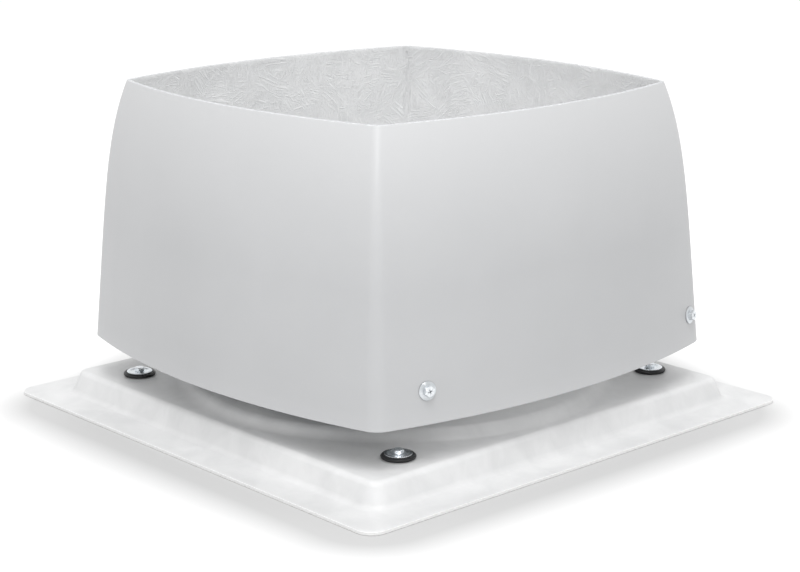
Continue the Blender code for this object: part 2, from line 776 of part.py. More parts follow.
def impeller_shroud():
    """The wheel's lower ring, which takes the nozzle in its throat."""
    upper = softened([(SHROUD_THROAT, SHROUD_BOTTOM, 0.0), (SHROUD_THROAT, SHROUD_BEND, SHROUD_ROUND),
                      (WHEEL_RADIUS, SHROUD_RIM, 0.0)], steps=2)
    outer = SHROUD_THROAT + SHROUD_SHEET
    lower = softened([(WHEEL_RADIUS, SHROUD_RIM - SHROUD_SHEET, 0.0),
                      (outer, shroud_height(outer) - SHROUD_SHEET, SHROUD_ROUND - SHROUD_SHEET),
                      (outer, SHROUD_BOTTOM, 0.0)], steps=2)
    place("impeller_shroud", turned([*lower, *upper], BIG_STEPS, ring=True), "galvanised", parent=FRAME)


def impeller_blade():
    """One backward-curved blade, from the shroud up into the back plate."""
    top = WHEEL_TOP - WHEEL_PLATE / 2
    inner = SHROUD_THROAT + BLADE_SETBACK
    outer = WHEEL_RADIUS - BLADE_TIP_INSET
    rings = []
    for step in range(BLADE_STEPS + 1):
        share = step / BLADE_STEPS
        radius = inner + (outer - inner) * share
        angle = BLADE_SWEEP * share
        x = radius * math.cos(angle)
        y = radius * math.sin(angle)
        rings.append([Vector((x, y, shroud_height(radius) + BLADE_FIT)), Vector((x, y, top))])
    bm = bmesh.new()
    edges = [[bm.verts.new(point) for point in ring] for ring in rings]
    for here, there in zip(edges, edges[1:]):
        bm.faces.new((here[0], there[0], there[1], here[1]))
    return thickened(mesh_from(bm), BLADE_SHEET)


def impeller_wheel():
    """Back plate and blades, welded into one piece."""
    disc = turned([
        (WHEEL_RADIUS, WHEEL_TOP),
        (WHEEL_RADIUS, WHEEL_TOP - WHEEL_PLATE),
        (HUB_RADIUS + GAP, WHEEL_TOP - WHEEL_PLATE),
        (HUB_RADIUS + GAP, WHEEL_TOP),
    ], BIG_STEPS, ring=True)
    blades = []
    for index in range(BLADES):
        blades.append((impeller_blade(), Matrix.Rotation(FULL_TURN * index / BLADES, 4, "Z")))
    place("impeller_wheel", combined(disc, blades, "UNION"), "galvanised", parent=FRAME)


def impeller_hub():
    bottom = WHEEL_TOP - HUB_LENGTH
    flange = WHEEL_TOP + GAP
    hub = turned([
        (HUB_FLANGE, flange + HUB_SHEET),
        (HUB_FLANGE, flange),
        (HUB_RADIUS, flange),
        (HUB_RADIUS, bottom),
        (SHAFT_RADIUS + GAP, bottom),
        (SHAFT_RADIUS + GAP, flange + HUB_SHEET),
    ], MID_STEPS, ring=True)
    place("impeller_hub", hub, "aluminium", parent=FRAME)


# ---- motor ----

def motor_shaft():
    bottom = WHEEL_TOP - HUB_LENGTH - OVERRUN
    top = COOLING_FAN_BOTTOM + COOLING_FAN_WIDTH + OVERRUN
    place("motor_shaft", rod(SHAFT_RADIUS, bottom, top), "steel", parent=FRAME)


def sleeve(outer, inner, bottom, top, steps=MID_STEPS):
    """A plain ring."""
    return turned([(outer, top), (outer, bottom), (inner, bottom), (inner, top)], steps, ring=True)


def motor_flange():
    """The lower end shield, with its flange on the carrier and a seat for the bearing."""
    step = MOTOR_BOTTOM + MOTOR_FLANGE_THICK
    ledge = SHIELD_TOP - BEARING_WIDTH - 2 * GAP
    flange = turned([
        (MOTOR_SPIGOT, SHIELD_TOP),
        (MOTOR_SPIGOT, step),
        (MOTOR_FLANGE, step),
        (MOTOR_FLANGE, MOTOR_BOTTOM),
        (SHAFT_RADIUS + SHAFT_CLEARANCE, MOTOR_BOTTOM),
        (SHAFT_RADIUS + SHAFT_CLEARANCE, ledge),
        (BEARING_RADIUS + GAP, ledge),
        (BEARING_RADIUS + GAP, SHIELD_TOP),
    ], MID_STEPS, ring=True)
    place("motor_flange", flange, "motor_paint", parent=FRAME)


def motor_end_shield():
    """The upper end shield, with a seat for the other bearing."""
    ledge = END_BOTTOM + BEARING_WIDTH + 2 * GAP
    shield = turned([
        (FIN_RADIUS, END_TOP),
        (FIN_RADIUS, END_BOTTOM),
        (BEARING_RADIUS + GAP, END_BOTTOM),
        (BEARING_RADIUS + GAP, ledge),
        (SHAFT_RADIUS + SHAFT_CLEARANCE, ledge),
        (SHAFT_RADIUS + SHAFT_CLEARANCE, END_TOP),
    ], MID_STEPS, ring=True)
    place("motor_end_shield", shield, "motor_paint", parent=FRAME)


def bearings():
    seats = {"lower_bearing": SHIELD_TOP - BEARING_WIDTH - GAP, "upper_bearing": END_BOTTOM + GAP}
    for name, bottom in seats.items():
        ring = sleeve(BEARING_RADIUS, SHAFT_RADIUS + GAP, bottom, bottom + BEARING_WIDTH)
        place(name, ring, "steel", parent=FRAME)


def motor_housing():
    """A finned extrusion with a flat pad for the terminal box."""
    outline = [(PAD_REACH, -PAD_HALF), (PAD_REACH, PAD_HALF)]
    pad_angle = math.asin(PAD_HALF / HOUSING_CORE)
    outline += arc((0.0, 0.0), HOUSING_CORE, pad_angle, pad_angle + FIN_MARGIN, 1)
    first = pad_angle + FIN_MARGIN
    pitch = (FULL_TURN - 2 * first) / FINS
    root = FIN_SHEET / 2 / HOUSING_CORE
    tip = FIN_SHEET / 2 / FIN_RADIUS
    for index in range(FINS):
        middle = first + pitch * (index + 0.5)
        for radius, angle in ((HOUSING_CORE, middle - root), (FIN_RADIUS, middle - tip),
                              (FIN_RADIUS, middle + tip), (HOUSING_CORE, middle + root)):
            outline.append((radius * math.cos(angle), radius * math.sin(angle)))
    outline += arc((0.0, 0.0), HOUSING_CORE, -first, -pad_angle, 1)
    bore = [(HOUSING_BORE, 0.0, 0.0, MID_STEPS)]
    housing = drilled(plate(outline, HOUSING_BOTTOM, HOUSING_TOP), bore, 0.0, HOUSING_TOP + OVERRUN)
    place("motor_housing", housing, "motor_paint", parent=FRAME)


def motor_cores():
    """Stator in the housing and rotor on the shaft, with the air gap between them."""
    middle = (HOUSING_BOTTOM + HOUSING_TOP) / 2
    bottom = middle - STATOR_LENGTH / 2
    top = middle + STATOR_LENGTH / 2
    stator = sleeve(HOUSING_BORE - GAP, ROTOR_RADIUS + AIR_GAP, bottom, top)
    rotor = sleeve(ROTOR_RADIUS, SHAFT_RADIUS + GAP, bottom, top)
    place("stator_core", stator, "copper", parent=FRAME)
    place("rotor_core", rotor, "steel", parent=FRAME)


def fan_cowl():
    """The cover over the motor's own fan, with slots for the air."""
    outer = FIN_RADIUS + GAP + COWL_SHEET
    bend = COWL_TOP - COWL_ROUND
    outside = arc((outer - COWL_ROUND, bend), COWL_ROUND, QUARTER_TURN, 0.0, CORNER_STEPS)
    inside = arc((outer - COWL_ROUND, bend), COWL_ROUND - COWL_SHEET, 0.0, QUARTER_TURN, CORNER_STEPS)
    profile = [(0.0, COWL_TOP), *outside, (outer, COWL_BOTTOM), (outer - COWL_SHEET, COWL_BOTTOM),
               *inside, (0.0, COWL_TOP - COWL_SHEET)]
    slots = []
    for index in range(COWL_SLOTS):
        slot = block((COWL_SLOT_INNER, -COWL_SLOT / 2, COWL_TOP - COWL_ROUND / 2),
                     (COWL_SLOT_OUTER, COWL_SLOT / 2, COWL_TOP + OVERRUN))
        slots.append((slot, Matrix.Rotation(FULL_TURN * index / COWL_SLOTS, 4, "Z")))
    place("fan_cowl", combined(turned(profile), slots, "DIFFERENCE"), "motor_paint", parent=FRAME)


def cooling_fan():
    """The motor's own fan: a hub, a disc and straight blades."""
    bottom = COOLING_FAN_BOTTOM
    hub = turned([
        (COOLING_HUB, bottom + COOLING_FAN_WIDTH),
        (COOLING_HUB, bottom + COOLING_SHEET),
        (COOLING_FAN_RADIUS, bottom + COOLING_SHEET),
        (COOLING_FAN_RADIUS, bottom),
        (SHAFT_RADIUS + GAP, bottom),
        (SHAFT_RADIUS + GAP, bottom + COOLING_FAN_WIDTH),
    ], MID_STEPS, ring=True)
    blades = []
    for index in range(COOLING_BLADES):
        blade = block((COOLING_HUB - COOLING_SHEET, -COOLING_SHEET / 2, bottom + COOLING_SHEET / 2),
                      (COOLING_FAN_RADIUS - COOLING_SHEET, COOLING_SHEET / 2,
                       bottom + COOLING_FAN_WIDTH - COOLING_SHEET))
        blades.append((blade, Matrix.Rotation(FULL_TURN * index / COOLING_BLADES, 4, "Z")))
    place("cooling_fan", combined(hub, blades, "UNION"), "plastic", parent=FRAME)


def terminal_box():
    """The wiring box on the motor's pad, its lid and the gland in its side."""
    inner = PAD_REACH + GAP
    outer = inner + BOX_DEPTH
    middle = (HOUSING_BOTTOM + HOUSING_TOP) / 2
    low = middle - BOX_HEIGHT / 2
    high = middle + BOX_HEIGHT / 2
    side = BOX_WIDTH / 2
    hollow = block((inner + BOX_WALL, -side + BOX_WALL, low + BOX_WALL),
                   (outer + OVERRUN, side - BOX_WALL, high - BOX_WALL))
    gland_place = shift((inner + outer) / 2, side, middle) @ Matrix.Rotation(-QUARTER_TURN, 4, "X")
    opening = rod(GLAND_THREAD + GAP, -BOX_WALL - OVERRUN, OVERRUN)
    box = combined(block((inner, -side, low), (outer, side, high)),
                   [hollow, (opening, gland_place)], "DIFFERENCE")
    place("terminal_box", box, "motor_paint", parent=FRAME)
    lid = block((outer + GAP, -side, low), (outer + GAP + LID_THICK, side, high))
    place("terminal_lid", lid, "motor_paint", parent=FRAME)
    gland = turned([
        (GLAND_THREAD, GLAND_LENGTH),
        (GLAND_RADIUS, GLAND_LENGTH - GLAND_RADIUS / 2),
        (GLAND_RADIUS, GAP),
        (GLAND_THREAD, GAP),
        (GLAND_THREAD, -BOX_WALL - OVERRUN),
        (GLAND_BORE, -BOX_WALL - OVERRUN),
        (GLAND_BORE, GLAND_LENGTH),
    ], SMALL_STEPS, ring=True)
    place("cable_gland", gland, "plastic", gland_place, FRAME)


base_plate()
hood()
support_frame()
mounts()
posts()
carrier_plate()
hood_brackets()
inlet_nozzle()
impeller_shroud()
impeller_wheel()
impeller_hub()
motor_shaft()
motor_flange()
motor_end_shield()
bearings()
motor_housing()
motor_cores()
fan_cowl()
cooling_fan()
terminal_box()
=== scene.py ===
"""The looks of a roof exhaust fan: grey wind hood, white moulded base, steel frame, motor and fan wheel.

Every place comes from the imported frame, in metres, +Z up, with -Y the front and +X the right.
"""
import math

import bmesh
import bpy
import numpy as np
from mathutils import Matrix, Vector, noise


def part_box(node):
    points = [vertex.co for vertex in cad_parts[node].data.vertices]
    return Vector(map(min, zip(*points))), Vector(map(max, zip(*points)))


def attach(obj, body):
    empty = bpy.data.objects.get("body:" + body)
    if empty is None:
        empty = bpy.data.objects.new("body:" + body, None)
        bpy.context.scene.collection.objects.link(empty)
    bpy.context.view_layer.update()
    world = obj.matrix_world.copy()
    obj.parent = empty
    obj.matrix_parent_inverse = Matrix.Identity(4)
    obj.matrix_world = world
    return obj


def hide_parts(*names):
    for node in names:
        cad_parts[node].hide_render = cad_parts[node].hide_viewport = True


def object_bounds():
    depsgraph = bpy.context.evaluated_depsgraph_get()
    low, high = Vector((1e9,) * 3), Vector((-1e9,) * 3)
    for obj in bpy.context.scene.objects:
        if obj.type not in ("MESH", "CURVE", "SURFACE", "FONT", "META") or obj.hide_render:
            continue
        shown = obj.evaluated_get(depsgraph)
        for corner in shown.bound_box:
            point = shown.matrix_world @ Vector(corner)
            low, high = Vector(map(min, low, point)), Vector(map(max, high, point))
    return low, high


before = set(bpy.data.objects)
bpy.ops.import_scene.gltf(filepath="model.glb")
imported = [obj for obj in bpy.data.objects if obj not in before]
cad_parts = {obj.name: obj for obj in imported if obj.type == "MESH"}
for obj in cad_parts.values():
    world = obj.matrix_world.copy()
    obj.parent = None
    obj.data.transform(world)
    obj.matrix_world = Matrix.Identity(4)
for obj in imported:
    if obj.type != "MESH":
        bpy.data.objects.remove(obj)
CAD_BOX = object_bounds()

# Bodies and corners
HOUSING = "housing"
ROTOR = "rotor"
CORNERS = ("front_right", "front_left", "rear_right", "rear_left")
FRAME_TURN = math.radians(3.7)
QUARTER = math.pi / 2
FULL = 2 * math.pi

# Hood
HOOD_TAPER = 0.020
HOOD_CURL = 5.5
HOOD_BOTTOM_HALF = 0.2365
HOOD_TOP_HALF = 0.2040
HOOD_BOTTOM_BOW = 0.034
HOOD_TOP_BOW = 0.030
HOOD_LOW_CORNER = 0.022
HOOD_TOP_CORNER = 0.011
HOOD_WALL = 0.0035
HOOD_EDGE = 0.0007
HOOD_OUTER_RINGS = 26
HOOD_INNER_RINGS = 74
HOOD_SIDE_STEPS = 112
HOOD_CORNER_STEPS = 12
HOOD_LUMP = 0.00028
HOOD_TRIM_WAVE = 0.00025

# Base moulding
SKIN = 0.003
FLANGE_CORNER = 0.018
PLATFORM_FOOT_HALF = 0.2615
PLATFORM_TOP_HALF = 0.2520
PLATFORM_HEIGHT = 0.0275
PLATFORM_CORNER = 0.012
PLATFORM_FILLET = 0.0085
BOSS_FOOT_RADIUS = 0.236
BOSS_TOP_RADIUS = 0.225
BOSS_HEIGHT = 0.009
BOSS_FILLET = 0.016
COLLAR_RADIUS = 0.124
COLLAR_FILLET = 0.004
BASE_SIDE_STEPS = 64
BASE_CORNER_STEPS = 10
BASE_FLAT_STEP = 0.006
BASE_WAVE = 0.00012
BASE_LUMP = 0.0004

# Fasteners
M6 = 0.0030
M6_FLATS = 0.010
M6_PITCH = 0.0010
M6_HEAD = 0.0042
SCREW_PROUD = 0.0003 + 0.0016 + M6_HEAD
POST_NUT_FLATS = 0.017
POST_THREAD = 0.0050
POST_PITCH = 0.0015
POST_BODY = 0.0080
POST_BORE = 0.0053
POST_HOLE = 0.012
GROMMET_HOLE = 0.0093
HEX_FACE = 0.475
CHAMFER = math.radians(30.0)
EDGE = 0.0003

# Steel frame and air path
SUPPORT_CORNER = 0.020
CARRIER_CORNER = 0.012
ARM_WIDTH = 0.046
NOZZLE_LAP = 0.0225
NOZZLE_THROAT = 0.0855
NOZZLE_BEND = 0.020
NOZZLE_SHEET = 0.002
NOZZLE_RIVETS = 12
SHROUD_THROAT = 0.0880
SHROUD_BEND_HEIGHT = 0.058
SHROUD_SHEET = 0.0015

# Fan and motor
BLADES = 7
BLADE_SWEEP = math.radians(42.0)
BLADE_ROOT = 0.0980
BLADE_SHEET = 0.002
HUB_RADIUS = 0.0160
HUB_SCREWS = 6
SHAFT_HOLE = 0.0080
BEARING_SEAT = 0.0163
FLANGE_BOLTS = 4
BARREL_CORE = 0.052
BARREL_BORE = 0.0465
FIN_TIP = 0.060
FINS = 26
PAD_HALF = 0.024
COWL_SHEET = 0.0015
COWL_BEND = 0.010
COWL_SLOTS = 10
COWL_SCREWS = 3
BOX_WALL = 0.0025
BOX_CORNER = 0.005
LID_SCREW_INSET = 0.006

# Camera, in degrees, metres and millimetres of lens
CAMERA_AZIMUTH = 47.96
CAMERA_HEIGHT = 14.37
CAMERA_ROLL = -0.23
CAMERA_LENS = 87.73
CAMERA_DISTANCE = 2.1332

# Painted soft shadow round the base on the floor
SHADE_SHIFT = 0.028
SHADE_REACH = 0.120

# Which of a shell's three finishes a face takes
OUTSIDE = 0
INSIDE = 1
RIM = 2

# Fineness of turned pieces
FINE = 144
ROUND = 72
SMALL = 36


# ---------------------------------------------------------------- shaping tools

def node_box(name):
    low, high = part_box(name)
    return low, high, (low + high) / 2


def arc(centre, radius, start, end, steps):
    """Points on an arc, both ends included."""
    points = []
    for step in range(steps + 1):
        angle = start + (end - start) * step / steps
        points.append((centre[0] + radius * math.cos(angle), centre[1] + radius * math.sin(angle)))
    return points


def softened(corners, closed=False, steps=4):
    """An outline of (x, y, rounding) corners with each rounding made as an arc."""
    points = [Vector(corner[:2]) for corner in corners]
    result = []
    for index, here in enumerate(points):
        radius = corners[index][2] if len(corners[index]) > 2 else 0.0
        if not radius or (not closed and index in (0, len(points) - 1)):
            result.append(tuple(here))
            continue
        to_before = (points[index - 1] - here).normalized()
        to_after = (points[(index + 1) % len(points)] - here).normalized()
        half = to_before.angle(to_after) / 2
        centre = here + (to_before + to_after).normalized() * radius / math.sin(half)
        start = here + to_before * radius / math.tan(half) - centre
        end = here + to_after * radius / math.tan(half) - centre
        for step in range(steps + 1):
            result.append(tuple(centre + start.lerp(end, step / steps).normalized() * radius))
    return result


def turned(profile, steps=ROUND, ring=False):
    """Spin (radius, height) points about Z; a ring's profile is closed, any other ends on the axis."""
    bm = bmesh.new()
    verts = [bm.verts.new((radius, 0.0, height)) for radius, height in profile]
    edges = [bm.edges.new(pair) for pair in zip(verts, verts[1:])]
    if ring:
        edges.append(bm.edges.new((verts[-1], verts[0])))
    bmesh.ops.spin(bm, geom=verts + edges, cent=(0, 0, 0), axis=(0, 0, 1), angle=FULL, steps=steps,
                   use_merge=True)
    bmesh.ops.remove_doubles(bm, verts=bm.verts, dist=1e-7)
    bmesh.ops.recalc_face_normals(bm, faces=bm.faces)
    return bm


def turned_ring(corners, fineness=FINE, steps=4):
    """A turned ring whose section has rounded (radius, height, rounding) corners."""
    return turned(softened(corners, closed=True, steps=steps), fineness, ring=True)


def domed_head(radius, foot, shoulder, crown, rounding):
    """The low round head of a rivet or a small screw."""
    profile = [(0.0, foot), (radius, foot, 0.0002), (radius - 0.0004, shoulder, rounding), (0.0, crown)]
    return turned(softened(profile, steps=3), SMALL)


def rod(radius, bottom, top, steps=SMALL):
    bm = bmesh.new()
    bmesh.ops.create_cone(bm, cap_ends=True, segments=steps, radius1=radius, radius2=radius,
                          depth=top - bottom, matrix=Matrix.Translation((0, 0, (bottom + top) / 2)))
    return bm


def hexagon(flats, bottom, top):
    return rod(flats / math.sqrt(3.0), bottom, top, 6)


def block(low, high):
    low = Vector(low)
    high = Vector(high)
    bm = bmesh.new()
    scale = Matrix.Diagonal((*(high - low), 1.0))
    bmesh.ops.create_cube(bm, size=1.0, matrix=Matrix.Translation((low + high) / 2) @ scale)
    return bm


def rounded_block(low, high, corner):
    """A block whose four long corners along X are round."""
    bm = block(low, high)
    along = [edge for edge in bm.edges if abs(edge.verts[0].co.x - edge.verts[1].co.x) > EDGE]
    bmesh.ops.bevel(bm, geom=along, offset=corner, offset_type="OFFSET", segments=6, profile=0.5,
                    affect="EDGES", material=-1)
    return bm


def slab(outline, bottom, top):
    """A flat sheet with the given outline of (x, y) points."""
    bm = bmesh.new()
    face = bm.faces.new([bm.verts.new((x, y, bottom)) for x, y in outline])
    grown = bmesh.ops.extrude_face_region(bm, geom=[face])["geom"]
    lifted = [item for item in grown if isinstance(item, bmesh.types.BMVert)]
    bmesh.ops.translate(bm, verts=lifted, vec=(0, 0, top - bottom))
    bmesh.ops.recalc_face_normals(bm, faces=bm.faces)
    return bm


def moved(bm, matrix):
    bmesh.ops.transform(bm, matrix=matrix, verts=bm.verts)
    return bm


def gathered(*parts):
    """Several shapes as one, each still a closed shell of its own."""
    whole = bmesh.new()
    for part in parts:
        mesh = bpy.data.meshes.new("part")
        part.to_mesh(mesh)
        part.free()
        whole.from_mesh(mesh)
        bpy.data.meshes.remove(mesh)
    return whole


def combined(bm, others, operation):
    """Cut, join or intersect a shape with others."""
    def item(shape):
        mesh = bpy.data.meshes.new("draft")
        shape.to_mesh(mesh)
        shape.free()
        made = bpy.data.objects.new("draft", mesh)
        bpy.context.scene.collection.objects.link(made)
        return made

    body = item(bm)
    tools = [item(other) for other in others]
    for tool in tools:
        boolean = body.modifiers.new("shape", "BOOLEAN")
        boolean.operation = operation
        boolean.object = tool
    view = bpy.context.view_layer
    view.update()
    mesh = bpy.data.meshes.new_from_object(body.evaluated_get(view.depsgraph))
    result = bmesh.new()
    result.from_mesh(mesh)
    bpy.data.meshes.remove(mesh)
    for made in [body, *tools]:
        spare = made.data
        bpy.data.objects.remove(made)
        bpy.data.meshes.remove(spare)
    return result


def eased(bm, width, angle=30.0, segments=2):
    """Round every edge that is sharper than the angle."""
    bmesh.ops.dissolve_limit(bm, angle_limit=math.radians(0.3), verts=bm.verts, edges=bm.edges)
    limit = math.radians(angle)
    sharp = [edge for edge in bm.edges if edge.is_manifold and edge.calc_face_angle() > limit]
    bmesh.ops.bevel(bm, geom=sharp, offset=width, offset_type="OFFSET", segments=segments, profile=0.5,
                    affect="EDGES", clamp_overlap=True, material=-1)
    return bm


def piece(name, bm, material, body, replaces=(), sharp=32.0):
    """Make the finished shape a named piece that rides on its body."""
    mesh = bpy.data.meshes.new(name)
    bm.to_mesh(mesh)
    bm.free()
    for finish in material if isinstance(material, (list, tuple)) else [material]:
        mesh.materials.append(finish)
    mesh.shade_smooth()
    mesh.set_sharp_from_angle(angle=math.radians(sharp))
    made = bpy.data.objects.new(name, mesh)
    bpy.context.scene.collection.objects.link(made)
    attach(made, body)
    if replaces:
        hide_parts(*replaces)
    return made


# ---------------------------------------------------------------- finishes

class Finish:
    """A material under construction: its shader, and short ways to add the nodes that feed it."""

    def __init__(self, name, **sockets):
        self.material = bpy.data.materials.new(name)
        self.material.use_nodes = True
        self.tree = self.material.node_tree
        self.shader = self.tree.nodes["Principled BSDF"]
        for socket, value in sockets.items():
            self.shader.inputs[socket.replace("_", " ")].default_value = value
        self.place = self.node("ShaderNodeTexCoord").outputs["Object"]

    def node(self, kind, **settings):
        made = self.tree.nodes.new(kind)
        for setting, value in settings.items():
            setattr(made, setting, value)
        return made

    def feed(self, socket, value):
        """Give a socket a number, a colour or another node's output."""
        if isinstance(value, bpy.types.NodeSocket):
            self.tree.links.new(value, socket)
        elif isinstance(value, (tuple, list)) and len(value) == 3 and socket.type == "RGBA":
            socket.default_value = (*value, 1.0)
        else:
            socket.default_value = value

    def stretched(self, vector, scale, shift=(0.0, 0.0, 0.0)):
        made = self.node("ShaderNodeMapping")
        self.feed(made.inputs["Vector"], vector)
        made.inputs["Location"].default_value = shift
        made.inputs["Scale"].default_value = scale
        return made.outputs["Vector"]

    def grain(self, scale, detail=3.0, rough=0.5, twist=0.0, vector=None):
        """Soft noise, from 0 to 1; scale is in waves a metre."""
        made = self.node("ShaderNodeTexNoise")
        self.feed(made.inputs["Vector"], vector or self.place)
        made.inputs["Scale"].default_value = scale
        made.inputs["Detail"].default_value = detail
        made.inputs["Roughness"].default_value = rough
        made.inputs["Distortion"].default_value = twist
        return made.outputs["Fac"]

    def cells(self, scale, vector=None, feature="F1", output="Distance"):
        made = self.node("ShaderNodeTexVoronoi", feature=feature)
        self.feed(made.inputs["Vector"], vector or self.place)
        made.inputs["Scale"].default_value = scale
        return made.outputs[output]

    def spread(self, value, low, high, to_low=0.0, to_high=1.0):
        """Stretch a range of values over another one, with clean ends."""
        made = self.node("ShaderNodeMapRange")
        self.feed(made.inputs["Value"], value)
        made.inputs["From Min"].default_value = low
        made.inputs["From Max"].default_value = high
        made.inputs["To Min"].default_value = to_low
        made.inputs["To Max"].default_value = to_high
        return made.outputs["Result"]

    def maths(self, operation, first, second=0.0):
        made = self.node("ShaderNodeMath", operation=operation)
        self.feed(made.inputs[0], first)
        self.feed(made.inputs[1], second)
        return made.outputs["Value"]

    def blend(self, share, first, second):
        """A colour between two others."""
        made = self.node("ShaderNodeMix", data_type="RGBA")
        self.feed(made.inputs["Factor"], share)
        colours = [socket for socket in made.inputs if socket.type == "RGBA"]
        self.feed(colours[0], first)
        self.feed(colours[1], second)
        return next(socket for socket in made.outputs if socket.type == "RGBA")

    def corner_wear(self, low=0.50, high=0.58):
        """1 along outer edges and 0 on flat faces."""
        return self.spread(self.node("ShaderNodeNewGeometry").outputs["Pointiness"], low, high)

    def crevice(self, low=0.42, high=0.495):
        """1 in inner corners and 0 on flat faces."""
        return self.spread(self.node("ShaderNodeNewGeometry").outputs["Pointiness"], low, high, 1.0, 0.0)

    def strands(self, vector, patch, width, length):
        """Short glass strands that lie another way in each patch; sizes in metres."""
        site = self.node("ShaderNodeTexVoronoi", feature="F1")
        self.feed(site.inputs["Vector"], vector)
        site.inputs["Scale"].default_value = 1.0 / patch
        pick = self.node("ShaderNodeSeparateColor")
        self.feed(pick.inputs["Color"], site.outputs["Color"])
        lie = self.node("ShaderNodeVectorRotate", rotation_type="Z_AXIS")
        self.feed(lie.inputs["Vector"], vector)
        self.feed(lie.inputs["Angle"], self.maths("MULTIPLY", pick.outputs["Red"], FULL))
        along = self.stretched(lie.outputs["Vector"], (1.0 / width, 1.0 / length, 1.0))
        return self.spread(self.grain(1.0, 1.0, 0.4, 0.25, along), 0.52, 0.70)

    def relief(self, *layers):
        """Feed the shader's normal with (height, depth in metres) layers, the largest first."""
        normal = None
        for height, depth in layers:
            made = self.node("ShaderNodeBump")
            made.inputs["Strength"].default_value = 1.0
            made.inputs["Distance"].default_value = depth
            self.feed(made.inputs["Height"], height)
            if normal:
                self.feed(made.inputs["Normal"], normal)
            normal = made.outputs["Normal"]
        self.feed(self.shader.inputs["Normal"], normal)

    def done(self, colour, roughness):
        self.feed(self.shader.inputs["Base Color"], colour)
        self.feed(self.shader.inputs["Roughness"], roughness)
        return self.material


def hood_gelcoat():
    """Smooth grey gelcoat: a faint cloudiness, rub marks, fine dust and painted light that lightens it
    towards the top.
    """
    made = Finish("hood_gelcoat", Specular_IOR_Level=0.5)
    cloud = made.grain(5.0, 3.0, 0.55)
    speck = made.spread(made.grain(900.0, 2.0, 0.6), 0.66, 0.74)
    downwards = made.stretched(made.place, (26.0, 26.0, 4.0))
    rub = made.spread(made.grain(1.0, 3.0, 0.6, 0.3, downwards), 0.45, 0.8)
    colour = made.blend(made.spread(cloud, 0.3, 0.7), (0.358, 0.362, 0.369), (0.384, 0.388, 0.395))
    height = made.node("ShaderNodeSeparateXYZ")
    made.feed(height.inputs["Vector"], made.place)
    # Painted light: the colour grows lighter towards the top of the hood, standing in for the light that
    # falls on its curled mouth.
    painted_top_light = made.spread(height.outputs["Z"], 0.20, 0.35, 0.0, 1.0)
    colour = made.blend(made.maths("MULTIPLY", painted_top_light, 0.8), colour, (0.478, 0.482, 0.488))
    colour = made.blend(made.maths("MULTIPLY", speck, 0.2), colour, (0.56, 0.57, 0.58))
    colour = made.blend(made.maths("MULTIPLY", made.corner_wear(), 0.2), colour, (0.60, 0.61, 0.62))
    rough = made.maths("ADD", made.spread(cloud, 0.3, 0.7, 0.33, 0.39), made.maths("MULTIPLY", rub, 0.06))
    made.relief((made.grain(9.0, 2.0), 0.0006), (made.grain(240.0, 2.0, 0.5), 0.00004))
    return made.done(colour, rough)


def painted_mat(name, dark, light, lump, strand_depth):
    """The rough side of a laminate: chopped glass strands under a thin coat of paint."""
    made = Finish(name, Specular_IOR_Level=0.45)
    sheet = made.node("ShaderNodeUVMap", uv_map="metres").outputs["UV"]
    bent = made.node("ShaderNodeVectorMath", operation="ADD")
    made.feed(bent.inputs[0], sheet)
    ripple = made.node("ShaderNodeTexNoise")
    made.feed(ripple.inputs["Vector"], sheet)
    ripple.inputs["Scale"].default_value = 22.0
    sway = made.node("ShaderNodeVectorMath", operation="SCALE")
    made.feed(sway.inputs[0], ripple.outputs["Color"])
    sway.inputs["Scale"].default_value = 0.012
    made.feed(bent.inputs[1], sway.outputs["Vector"])
    field = bent.outputs["Vector"]
    coarse = made.strands(field, 0.034, 0.0022, 0.030)
    middle = made.strands(made.stretched(field, (1, 1, 1), shift=(3.1, 7.7, 0)), 0.021, 0.0013, 0.022)
    fine = made.strands(made.stretched(field, (1, 1, 1), shift=(9.3, 1.9, 0)), 0.013, 0.0009, 0.014)
    mat = made.maths("MAXIMUM", coarse, made.maths("MAXIMUM", middle, made.maths("MULTIPLY", fine, 0.7)))
    pool = made.grain(14.0, 4.0, 0.6, 0.4, sheet)
    colour = made.blend(made.spread(pool, 0.32, 0.68), dark, light)
    colour = made.blend(made.maths("MULTIPLY", mat, 0.4), colour, tuple(min(0.93, c * 1.12) for c in light))
    rough = made.spread(pool, 0.3, 0.7, 0.62, 0.40)
    made.relief((pool, lump), (mat, strand_depth), (made.grain(700.0, 3.0, 0.6, 0.0, sheet), 0.00012))
    return made.done(colour, rough)


def trimmed_edge(name, pale, shade):
    """A laminate's sawn edge, with its glass showing white."""
    made = Finish(name, Specular_IOR_Level=0.4)
    layers = made.grain(1.0, 3.0, 0.6, 0.2, made.stretched(made.place, (240.0, 240.0, 1500.0)))
    chips = made.spread(made.grain(420.0, 2.0, 0.6), 0.60, 0.72)
    colour = made.blend(made.spread(layers, 0.35, 0.65), pale, shade)
    colour = made.blend(made.maths("MULTIPLY", chips, 0.5), colour, shade)
    made.relief((layers, 0.0002), (chips, 0.0002))
    return made.done(colour, made.spread(layers, 0.3, 0.7, 0.55, 0.75))


